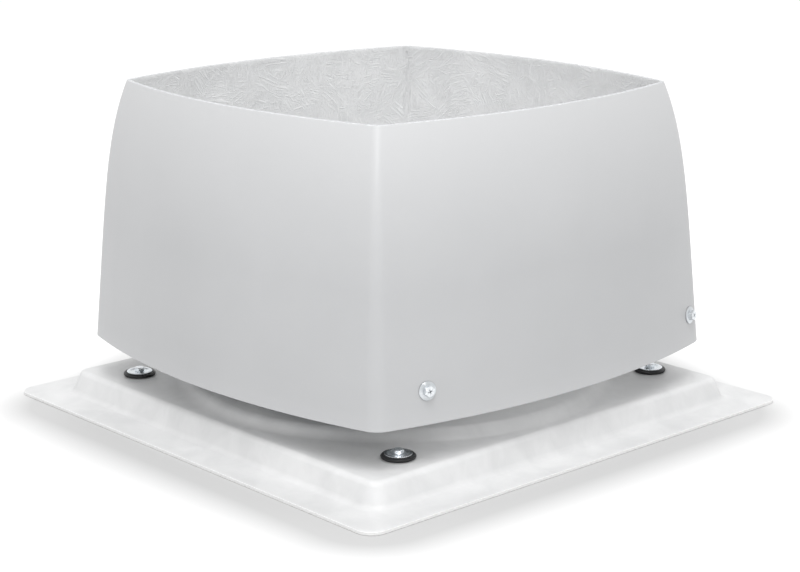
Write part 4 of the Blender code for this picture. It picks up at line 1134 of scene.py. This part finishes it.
def posts():
    """Turned posts with threaded ends, each with a washer and a nut above the carrier."""
    carrier = frame_box("carrier_plate")[1].z
    support = frame_box("support_frame")[1].z
    for corner, tilt in zip(CORNERS, (22.0, 41.0, 9.0, 55.0)):
        low, high, spot = frame_box(f"post_{corner}")
        nut_low, nut_high, _ = frame_box(f"post_nut_{corner}")
        shoulder = carrier - SKIN - 0.0003
        foot = support + 0.0003
        profile = [(0.0, low.z), (0.0047, low.z), (POST_THREAD, low.z + EDGE), (POST_THREAD, foot)]
        profile += softened([(POST_THREAD, foot), (POST_BODY, foot, 0.0006),
                             (POST_BODY, shoulder, 0.0006), (POST_THREAD, shoulder)], steps=3)[1:]
        thread = threaded(POST_THREAD, POST_PITCH, shoulder, high.z)[3:]
        profile += thread + [(0.0042, high.z - EDGE), (0.0037, high.z), (0.0, high.z)]
        piece(f"turned_post_{corner}", moved(turned(profile, SMALL), on_frame(spot.x, spot.y)), GALVANISED,
              HOUSING, [f"post_{corner}"])
        nut = gathered(nut_shape(POST_NUT_FLATS, 0.0051, nut_low.z + 0.0016, nut_high.z),
                       washer_shape(POST_BORE, 0.0100, nut_low.z, 0.0015, SMALL))
        piece(f"post_hex_nut_{corner}", moved(nut, on_frame(spot.x, spot.y, 0.0, math.radians(tilt))), ZINC,
              HOUSING, [f"post_nut_{corner}"], 25.0)
        foot = support + 0.0007
        lip = PLATFORM_HEIGHT + BOSS_HEIGHT + 0.0030
        seal = turned_ring([(0.0082, foot, 0.0004), (0.0112, foot, 0.0010), (0.0100, lip, 0.0010),
                            (0.0082, lip, 0.0003)], ROUND, 3)
        piece(f"post_seal_{corner}", moved(seal, on_frame(spot.x, spot.y)), RUBBER, HOUSING)


def hood_brackets():
    """Bent angles from the carrier's arms to the hood, each with a weld nut and a bolt."""
    carrier = frame_box("carrier_plate")[1].z
    for corner, tilt in zip(CORNERS, (35.0, 3.0, 50.0, 21.0)):
        place, lean = wall_place(corner)
        under = carrier + 0.0003 - place.translation.z
        top = under + SKIN
        bottom = top - 0.038
        gap = -HOOD_WALL - 0.0006

        def face(height):
            return gap - height * math.tan(lean)

        outline = softened([
            (face(top), top, 0.0042), (face(bottom), bottom, 0.0004), (face(bottom) - SKIN, bottom, 0.0004),
            (face(under) - SKIN, under, 0.0012), (-0.068, under, 0.0004), (-0.068, top, 0.0004),
        ], closed=True, steps=5)
        sheet = slab(outline, -0.016, 0.016)
        sheet = moved(sheet, Matrix.Rotation(QUARTER, 4, "X"))
        wall = Matrix.Rotation(QUARTER - lean, 4, "Y")
        inside = gap - SKIN
        nut = moved(rod(0.0060, inside - 0.005, inside + 0.0015, SMALL), wall)
        sheet = combined(sheet, [nut], "UNION")
        bolt_place = Matrix.Translation((-0.050, 0, 0))
        bores = [moved(rod(M6 + 0.0002, inside - 0.007, 0.0, SMALL), wall),
                 moved(rod(M6 + 0.0005, under - 0.002, top + 0.002, SMALL), bolt_place)]
        sheet = combined(sheet, bores, "DIFFERENCE")
        piece(f"angle_bracket_{corner}", moved(eased(sheet, 0.0003, 40.0), place), GALVANISED, HOUSING,
              [f"hood_bracket_{corner}"])
        low, high, spot = frame_box(f"bracket_bolt_{corner}")
        bolt = bolt_shape(M6_FLATS, M6, M6_PITCH, high.z - M6_HEAD, M6_HEAD, low.z)
        piece(f"bracket_hex_bolt_{corner}", moved(bolt, on_frame(spot.x, spot.y, 0.0, math.radians(tilt))),
              ZINC, HOUSING, [f"bracket_bolt_{corner}"], 25.0)


# ---------------------------------------------------------------- air path

def bellmouth():
    """The spun inlet, its throat's rim eased and its flange riveted to the support sheet."""
    low, high, _ = frame_box("inlet_nozzle")
    throat = NOZZLE_THROAT
    sheet = NOZZLE_SHEET
    seat = low.z
    middle = (throat + NOZZLE_BEND, seat + sheet + NOZZLE_BEND)
    profile = [(throat - 0.0006, high.z - 0.0001), (throat - 0.0001, high.z - 0.0006)]
    profile += arc(middle, NOZZLE_BEND, math.pi, math.pi + QUARTER, 14)
    profile += [(high.x - 0.0005, seat + sheet), (high.x, seat + sheet - 0.0005), (high.x, seat + 0.0005),
                (high.x - 0.0005, seat)]
    profile += arc(middle, NOZZLE_BEND + sheet, math.pi + QUARTER, math.pi, 14)
    profile += [(throat - sheet + 0.0001, high.z - 0.0006), (throat - sheet + 0.0006, high.z - 0.0001)]
    parts = [turned(profile, FINE, ring=True)]
    face = seat + sheet
    for index in range(NOZZLE_RIVETS):
        rivet = domed_head(0.0040, face - 0.0004, face + 0.0008, face + 0.0013, 0.0006)
        spin = Matrix.Rotation(FULL * (index + 0.5) / NOZZLE_RIVETS, 4, "Z")
        parts.append(moved(rivet, spin @ Matrix.Translation((high.x - 0.008, 0.0, 0.0))))
    piece("bellmouth", moved(gathered(*parts), on_frame()), GALVANISED, HOUSING,
          ["inlet_nozzle"])


def wheel_blade(inner, outer, low, high, top):
    """One backward-curved blade between the shroud's cone and the back plate."""
    rings = 20
    bm = bmesh.new()
    pairs = []
    for step in range(rings + 1):
        share = step / rings
        radius = inner + (outer - inner) * share
        angle = BLADE_SWEEP * share
        spot = Vector((radius * math.cos(angle), radius * math.sin(angle), 0.0))
        foot = low + (high - low) * share
        pairs.append([bm.verts.new(spot + Vector((0, 0, foot))), bm.verts.new(spot + Vector((0, 0, top)))])
    for here, there in zip(pairs, pairs[1:]):
        bm.faces.new((here[0], there[0], there[1], here[1]))
    bmesh.ops.solidify(bm, geom=bm.faces, thickness=BLADE_SHEET)
    bmesh.ops.recalc_face_normals(bm, faces=bm.faces)
    return bm


def fan_wheel():
    """Back plate with seven curved blades, each held by a row of rivets."""
    high = frame_box("impeller_wheel")[1]
    plate = high.z - BLADE_SHEET
    bore = HUB_RADIUS + 0.0003
    disc = turned_ring([(bore, plate, 0.0004), (high.x, plate, 0.0006), (high.x, high.z, 0.0006),
                        (bore, high.z, 0.0004)], FINE, 3)
    tip = high.x - 0.004
    parts = [disc]
    for index in range(BLADES):
        spin = Matrix.Rotation(FULL * index / BLADES, 4, "Z")
        blade = wheel_blade(BLADE_ROOT, tip, shroud_height(BLADE_ROOT), shroud_height(tip), plate + 0.0005)
        parts.append(moved(blade, spin))
        for share in (0.12, 0.5, 0.88):
            distance = BLADE_ROOT + (tip - BLADE_ROOT) * share
            angle = BLADE_SWEEP * share - 0.018
            rivet = domed_head(0.0032, high.z - 0.0004, high.z + 0.0007, high.z + 0.0011, 0.0005)
            spot = Matrix.Translation((distance * math.cos(angle), distance * math.sin(angle), 0.0))
            parts.append(moved(rivet, spin @ spot))
    piece("fan_wheel", moved(gathered(*parts), on_frame()), GALVANISED, ROTOR,
          ["impeller_wheel"])


def shroud_height(radius):
    """Height just above the shroud's cone at a distance from the axis."""
    high = frame_box("impeller_shroud")[1]
    share = (radius - SHROUD_THROAT) / (high.x - SHROUD_THROAT)
    return SHROUD_BEND_HEIGHT + (high.z - SHROUD_BEND_HEIGHT) * share + 0.0004


def wheel_shroud():
    """The spun lower ring with an eased throat and a rolled rim."""
    low, high, _ = frame_box("impeller_shroud")
    sheet = SHROUD_SHEET
    slope = (high.z - SHROUD_BEND_HEIGHT) / (high.x - SHROUD_THROAT)
    outer = SHROUD_THROAT + sheet
    ring = turned_ring([
        (SHROUD_THROAT, low.z, 0.0003), (SHROUD_THROAT, SHROUD_BEND_HEIGHT, 0.008),
        (high.x, high.z, 0.0005), (high.x, high.z - sheet, 0.0005),
        (outer, SHROUD_BEND_HEIGHT + slope * sheet - sheet, 0.0065), (outer, low.z, 0.0003),
    ], FINE, 8)
    piece("wheel_shroud", moved(ring, on_frame()), GALVANISED, ROTOR,
          ["impeller_shroud"])


def wheel_hub():
    """Turned hub with six hexagon screws through the back plate."""
    low, high, _ = frame_box("impeller_hub")
    flange = high.z - 0.003
    bore = 0.0073
    parts = [turned_ring([
        (bore, low.z, 0.0004), (HUB_RADIUS, low.z, 0.0008), (HUB_RADIUS, flange, 0.0003),
        (high.x, flange, 0.0004), (high.x, high.z, 0.0006), (bore, high.z, 0.0005),
    ])]
    for index in range(HUB_SCREWS):
        head = hex_shape(0.0070, high.z, high.z + 0.0028, False, True)
        spot = Matrix.Rotation(FULL * index / HUB_SCREWS, 4, "Z") @ Matrix.Translation((0.025, 0.0, 0.0))
        parts.append(moved(head, spot))
    piece("wheel_hub", moved(gathered(*parts), on_frame()), ALUMINIUM, ROTOR,
          ["impeller_hub"])


# ---------------------------------------------------------------- motor

def shaft():
    """Ground shaft with chamfered ends and a centre drilling."""
    low, high, _ = frame_box("motor_shaft")
    radius = high.x
    ease = 0.0008
    profile = [(0.0, low.z + 0.002), (0.0012, low.z), (radius - ease, low.z), (radius, low.z + ease),
               (radius, high.z - ease), (radius - ease, high.z), (0.0012, high.z), (0.0, high.z - 0.002)]
    piece("ground_shaft", moved(turned(profile, ROUND), on_frame()), STEEL, ROTOR,
          ["motor_shaft"])


def lower_shield():
    """The motor's flange with its spigot, fillet and four bolts on the carrier."""
    low, high, _ = frame_box("motor_flange")
    step = low.z + 0.008
    seat = high.z - 0.0106
    spigot = 0.0500
    shield = turned_ring([
        (SHAFT_HOLE, low.z, 0.0003), (high.x, low.z, 0.0008), (high.x, step, 0.0012),
        (spigot, step, 0.0030), (spigot, high.z, 0.0006), (BEARING_SEAT, high.z, 0.0003),
        (BEARING_SEAT, seat, 0.0003), (SHAFT_HOLE, seat, 0.0003),
    ])
    piece("lower_shield", moved(shield, on_frame()), ENAMEL, HOUSING, ["motor_flange"])
    heads = []
    for index in range(FLANGE_BOLTS):
        spin = Matrix.Rotation(FULL * (index + 0.5) / FLANGE_BOLTS, 4, "Z")
        spot = spin @ Matrix.Translation((0.0600, 0.0, 0.0))
        heads.append(moved(washer_shape(0.0033, 0.0062, step + 0.0002, 0.0014), spot))
        head = hex_shape(M6_FLATS, step + 0.0017, step + 0.0058, False, True)
        heads.append(moved(head, spot @ Matrix.Rotation(0.4 * index, 4, "Z")))
    piece("flange_bolts", moved(gathered(*heads), on_frame()), ZINC, HOUSING, sharp=25.0)


def finned_barrel():
    """Extruded barrel with thin rounded fins and the flat pad of the wiring box."""
    low, high, _ = frame_box("motor_housing")
    pad = math.asin(PAD_HALF / BARREL_CORE)
    pad_side = (BARREL_CORE * math.cos(pad), BARREL_CORE * math.sin(pad))
    first = pad + math.radians(3.0)
    pitch = (FULL - 2 * first) / FINS
    root = (BARREL_CORE, 0.00135, 0.0012)
    tip = (FIN_TIP, 0.00105, 0.0009)
    outline = [(high.x, -PAD_HALF, 0.0012), (high.x, PAD_HALF, 0.0012), (*pad_side, 0.0010)]
    for index in range(FINS):
        middle = first + pitch * (index + 0.5)
        for side, (radius, half, soft) in ((-1, root), (-1, tip), (1, tip), (1, root)):
            angle = middle + side * half / radius
            outline.append((radius * math.cos(angle), radius * math.sin(angle), soft))
    outline.append((pad_side[0], -pad_side[1], 0.0010))
    barrel = slab(softened(outline, closed=True, steps=3), low.z, high.z)
    barrel = drilled(barrel, [(0.0, 0.0, BARREL_BORE)], low.z - 0.01, high.z + 0.01)
    piece("finned_barrel", moved(barrel, on_frame()), ENAMEL, HOUSING, ["motor_housing"])


def upper_shield():
    """The upper end shield with its bearing seat and shaft hole."""
    low, high, _ = frame_box("motor_end_shield")
    step = high.z - 0.0024
    shield = turned_ring([
        (BEARING_SEAT, low.z, 0.0003), (high.x, low.z, 0.0010), (high.x, high.z, 0.0010),
        (0.0300, high.z, 0.0010), (SHAFT_HOLE, high.z, 0.0004), (SHAFT_HOLE, step, 0.0003),
        (BEARING_SEAT, step, 0.0003),
    ], FINE, 3)
    piece("upper_shield", moved(shield, on_frame()), ENAMEL, HOUSING, ["motor_end_shield"])


def slotted_cowl():
    """Pressed cover of the cooling fan: round-ended slots, a turned-in rim and three screws."""
    low, high, _ = frame_box("fan_cowl")
    outer = high.x
    sheet = COWL_SHEET
    centre = (outer - COWL_BEND, high.z - COWL_BEND)
    profile = [(0.0, high.z)] + arc(centre, COWL_BEND, QUARTER, 0.0, 12)
    profile += [(outer, low.z + 0.0004), (outer - 0.0004, low.z), (outer - sheet + 0.0004, low.z),
                (outer - sheet, low.z + 0.0004)]
    profile += arc(centre, COWL_BEND - sheet, 0.0, QUARTER, 12) + [(0.0, high.z - sheet)]
    cover = turned(profile, FINE)
    slot = arc((0.0415, 0.0), 0.0025, -QUARTER, QUARTER, 8)
    slot += arc((0.0205, 0.0), 0.0025, QUARTER, 3 * QUARTER, 8)
    cuts = []
    for index in range(COWL_SLOTS):
        spin = Matrix.Rotation(FULL * index / COWL_SLOTS, 4, "Z")
        cuts.append(moved(slab(slot, high.z - 0.005, high.z + 0.002), spin))
    cover = combined(cover, cuts, "DIFFERENCE")
    heads = []
    for index in range(COWL_SCREWS):
        head = domed_head(0.0034, -0.0004, 0.0010, 0.0016, 0.0008)
        head = combined(head, cross_recess(0.0016, 0.0016, 0.0010), "DIFFERENCE")
        spin = Matrix.Rotation(FULL * (index + 0.3) / COWL_SCREWS, 4, "Z")
        side = spin @ Matrix.Translation((outer, 0.0, low.z + 0.0045))
        heads.append(moved(head, side @ Matrix.Rotation(QUARTER, 4, "Y")))
    piece("slotted_cowl", moved(cover, on_frame()), ENAMEL, HOUSING, ["fan_cowl"])
    piece("cowl_screws", moved(gathered(*heads), on_frame()), ZINC, HOUSING, sharp=25.0)


def gland_place():
    """Where the gland leaves the wiring box, its local Z pointing out of the wall."""
    side = frame_box("terminal_box")[1].y
    middle = frame_box("cable_gland")[2]
    return Matrix.Translation((middle.x, side, middle.z)) @ Matrix.Rotation(-QUARTER, 4, "X")


def wiring_box():
    """Cast box with rounded corners, open to its lid, bored for the gland."""
    low, high, _ = frame_box("terminal_box")
    wall = BOX_WALL
    body = rounded_block(low, high, BOX_CORNER)
    hollow = block((low.x + wall, wall - high.y, low.z + wall),
                   (high.x + 0.01, high.y - wall, high.z - wall))
    bore = moved(rod(0.0063, -0.008, 0.008, SMALL), gland_place())
    body = combined(body, [hollow, bore], "DIFFERENCE")
    piece("wiring_box", moved(eased(body, 0.0004, 40.0), on_frame()), ENAMEL, HOUSING,
          ["terminal_box"])


def wiring_lid():
    """The box's lid with an eased rim, and its four cross-recessed screws."""
    low, high, middle = frame_box("terminal_lid")
    lid = rounded_block(low, high, BOX_CORNER)
    rim = [edge for edge in lid.edges if min(vert.co.x for vert in edge.verts) > high.x - 0.0001]
    bmesh.ops.bevel(lid, geom=rim, offset=0.0012, offset_type="OFFSET", segments=4, profile=0.5,
                    affect="EDGES", material=-1)
    piece("wiring_lid", moved(lid, on_frame()), ENAMEL, HOUSING, ["terminal_lid"])
    across = frame_box("terminal_box")[1].y - LID_SCREW_INSET
    along = (high.z - low.z) / 2 - LID_SCREW_INSET
    heads = []
    for y in (-across, across):
        for z in (middle.z - along, middle.z + along):
            head = domed_head(0.0034, -0.0003, 0.0012, 0.0019, 0.0009)
            head = combined(head, cross_recess(0.0019, 0.0017, 0.0012), "DIFFERENCE")
            turn = Matrix.Rotation(QUARTER, 4, "Y") @ Matrix.Rotation(0.7, 4, "Z")
            heads.append(moved(head, Matrix.Translation((high.x, y, z)) @ turn))
    piece("lid_screws", moved(gathered(*heads), on_frame()), ZINC, HOUSING, sharp=25.0)


def gland():
    """The cable gland: a hexagon on the wall, a domed cap and a threaded tail inside."""
    length = frame_box("cable_gland")[1].y - frame_box("terminal_box")[1].y
    hole = 0.0040
    nut = hex_shape(0.0150, 0.0003, 0.0055, True, True)
    nut = combined(nut, [rod(hole + 0.0002, -0.01, 0.02, SMALL)], "DIFFERENCE")
    cap = turned_ring([(hole, 0.0050), (0.0078, 0.0050, 0.0002), (0.0078, length - 0.0050, 0.0020),
                       (0.0052, length, 0.0008), (hole, length, 0.0004)], ROUND)
    tail = turned_ring([(hole, -0.0040, 0.0002), (0.0060, -0.0040, 0.0003), (0.0060, 0.0008),
                        (hole, 0.0008)], SMALL, 2)
    piece("gland", moved(gathered(nut, cap, tail), on_frame() @ gland_place()), PLASTIC, HOUSING,
          ["cable_gland"], 28.0)


# ---------------------------------------------------------------- studio

def direction(azimuth, height):
    """Unit vector towards a place round the fan; degrees from the front and above the floor."""
    turn = math.radians(azimuth)
    rise = math.radians(height)
    return Vector((math.sin(turn) * math.cos(rise), -math.cos(turn) * math.cos(rise), math.sin(rise)))


def camera():
    """Seen from the near corner, a little from above."""
    azimuth = math.radians(CAMERA_AZIMUTH)
    roll = math.radians(CAMERA_ROLL)
    back = direction(CAMERA_AZIMUTH, CAMERA_HEIGHT)
    right = Vector((math.cos(azimuth), math.sin(azimuth), 0.0))
    up = back.cross(right)
    across = right * math.cos(roll) + up * math.sin(roll)
    upward = up * math.cos(roll) - right * math.sin(roll)
    aim = Vector((0.0, 0.0, 0.150)) + across * 0.0060 - upward * 0.02234
    data = bpy.data.cameras.new("camera")
    data.lens = CAMERA_LENS
    data.sensor_width = 36.0
    made = bpy.data.objects.new("camera", data)
    bpy.context.scene.collection.objects.link(made)
    place = aim + back * CAMERA_DISTANCE
    made.matrix_world = Matrix((
        (across.x, upward.x, back.x, place.x),
        (across.y, upward.y, back.y, place.y),
        (across.z, upward.z, back.z, place.z),
        (0.0, 0.0, 0.0, 1.0)))
    bpy.context.scene.camera = made


def softbox(name, azimuth, height, distance, size, power):
    """A square area light that faces the middle of the hood."""
    back = direction(azimuth, height)
    data = bpy.data.lights.new(name, "AREA")
    data.size = size
    data.energy = power
    made = bpy.data.objects.new(name, data)
    bpy.context.scene.collection.objects.link(made)
    made.location = Vector((0.0, 0.0, 0.2)) + back * distance
    made.rotation_mode = "QUATERNION"
    made.rotation_quaternion = (-back).to_track_quat("-Z", "Y")


def footprint_shade(paper, half):
    """The painted shadow's mask: 1 beside the base's edge, fading to 0 a little way out on the paper."""
    split = paper.node("ShaderNodeSeparateXYZ")
    paper.feed(split.inputs["Vector"], paper.place)
    away = []
    for axis, shift in (("X", SHADE_SHIFT), ("Y", -SHADE_SHIFT)):
        side = paper.maths("ABSOLUTE", paper.maths("SUBTRACT", split.outputs[axis], shift))
        away.append(paper.maths("MAXIMUM", paper.maths("SUBTRACT", side, half - SHADE_REACH / 2), 0.0))
    reach = paper.maths("SQRT", paper.maths("ADD", paper.maths("POWER", away[0], 2.0),
                                            paper.maths("POWER", away[1], 2.0)))
    fall = paper.spread(reach, SHADE_REACH / 2, SHADE_REACH * 1.6, 1.0, 0.0)
    return paper.maths("POWER", fall, 1.6)


def studio():
    """A white floor with a painted shadow round the base, under an even white sky, with softboxes that
    model the faces.
    """
    scene = bpy.context.scene
    scene.view_settings.view_transform = "Standard"
    world = bpy.data.worlds.new("white_sky")
    scene.world = world
    world.use_nodes = True
    sky = world.node_tree.nodes["Background"]
    sky.inputs["Color"].default_value = (1.0, 1.0, 1.0, 1.0)
    sky.inputs["Strength"].default_value = 1.00
    softbox("top_light", 48.0, 62.0, 2.4, 1.2, 27.0)
    softbox("corner_light", 50.0, 44.0, 2.4, 0.7, 6.0)
    softbox("front_light", 47.0, 22.0, 2.3, 0.5, 5.0)
    softbox("back_light", 222.0, 62.0, 2.6, 1.2, 10.0)
    paper = Finish("floor_paper", Specular_IOR_Level=0.2)
    paper.shader.inputs["Emission Color"].default_value = (1.0, 1.0, 1.0, 1.0)
    paper.shader.inputs["Emission Strength"].default_value = 0.08
    tone = paper.blend(paper.spread(paper.grain(3.0), 0.3, 0.7), (0.90, 0.90, 0.90), (0.92, 0.92, 0.92))
    # Painted shadow: the paper's colour is darkened round the base's footprint.
    tone = paper.blend(footprint_shade(paper, CAD_BOX[1].x), tone, (0.44, 0.44, 0.44))
    finish = paper.done(tone, paper.spread(paper.grain(30.0), 0.0, 1.0, 0.85, 0.95))
    bm = bmesh.new()
    bmesh.ops.create_grid(bm, x_segments=1, y_segments=1, size=12.0)
    mesh = bpy.data.meshes.new("floor")
    bm.to_mesh(mesh)
    bm.free()
    mesh.transform(Matrix.Translation((0.0, 0.0, CAD_BOX[0].z - 0.0004)))
    mesh.materials.append(finish)
    floor = bpy.data.objects.new("floor", mesh)
    scene.collection.objects.link(floor)


def kept_nodes():
    """Frame nodes that show as they are, each in its finish."""
    finishes = {"stator_core": COPPER, "rotor_core": CORE_STEEL, "lower_bearing": STEEL,
                "upper_bearing": STEEL, "cooling_fan": PLASTIC}
    for name, finish in finishes.items():
        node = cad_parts[name]
        node.data.materials.clear()
        node.data.materials.append(finish)


camera()
wind_hood()
base_moulding()
mount_grommets()
mount_hardware()
hood_screws()
support_sheet()
carrier_sheet()
posts()
hood_brackets()
bellmouth()
fan_wheel()
wheel_shroud()
wheel_hub()
shaft()
lower_shield()
finned_barrel()
upper_shield()
slotted_cowl()
wiring_box()
wiring_lid()
gland()
kept_nodes()
studio()
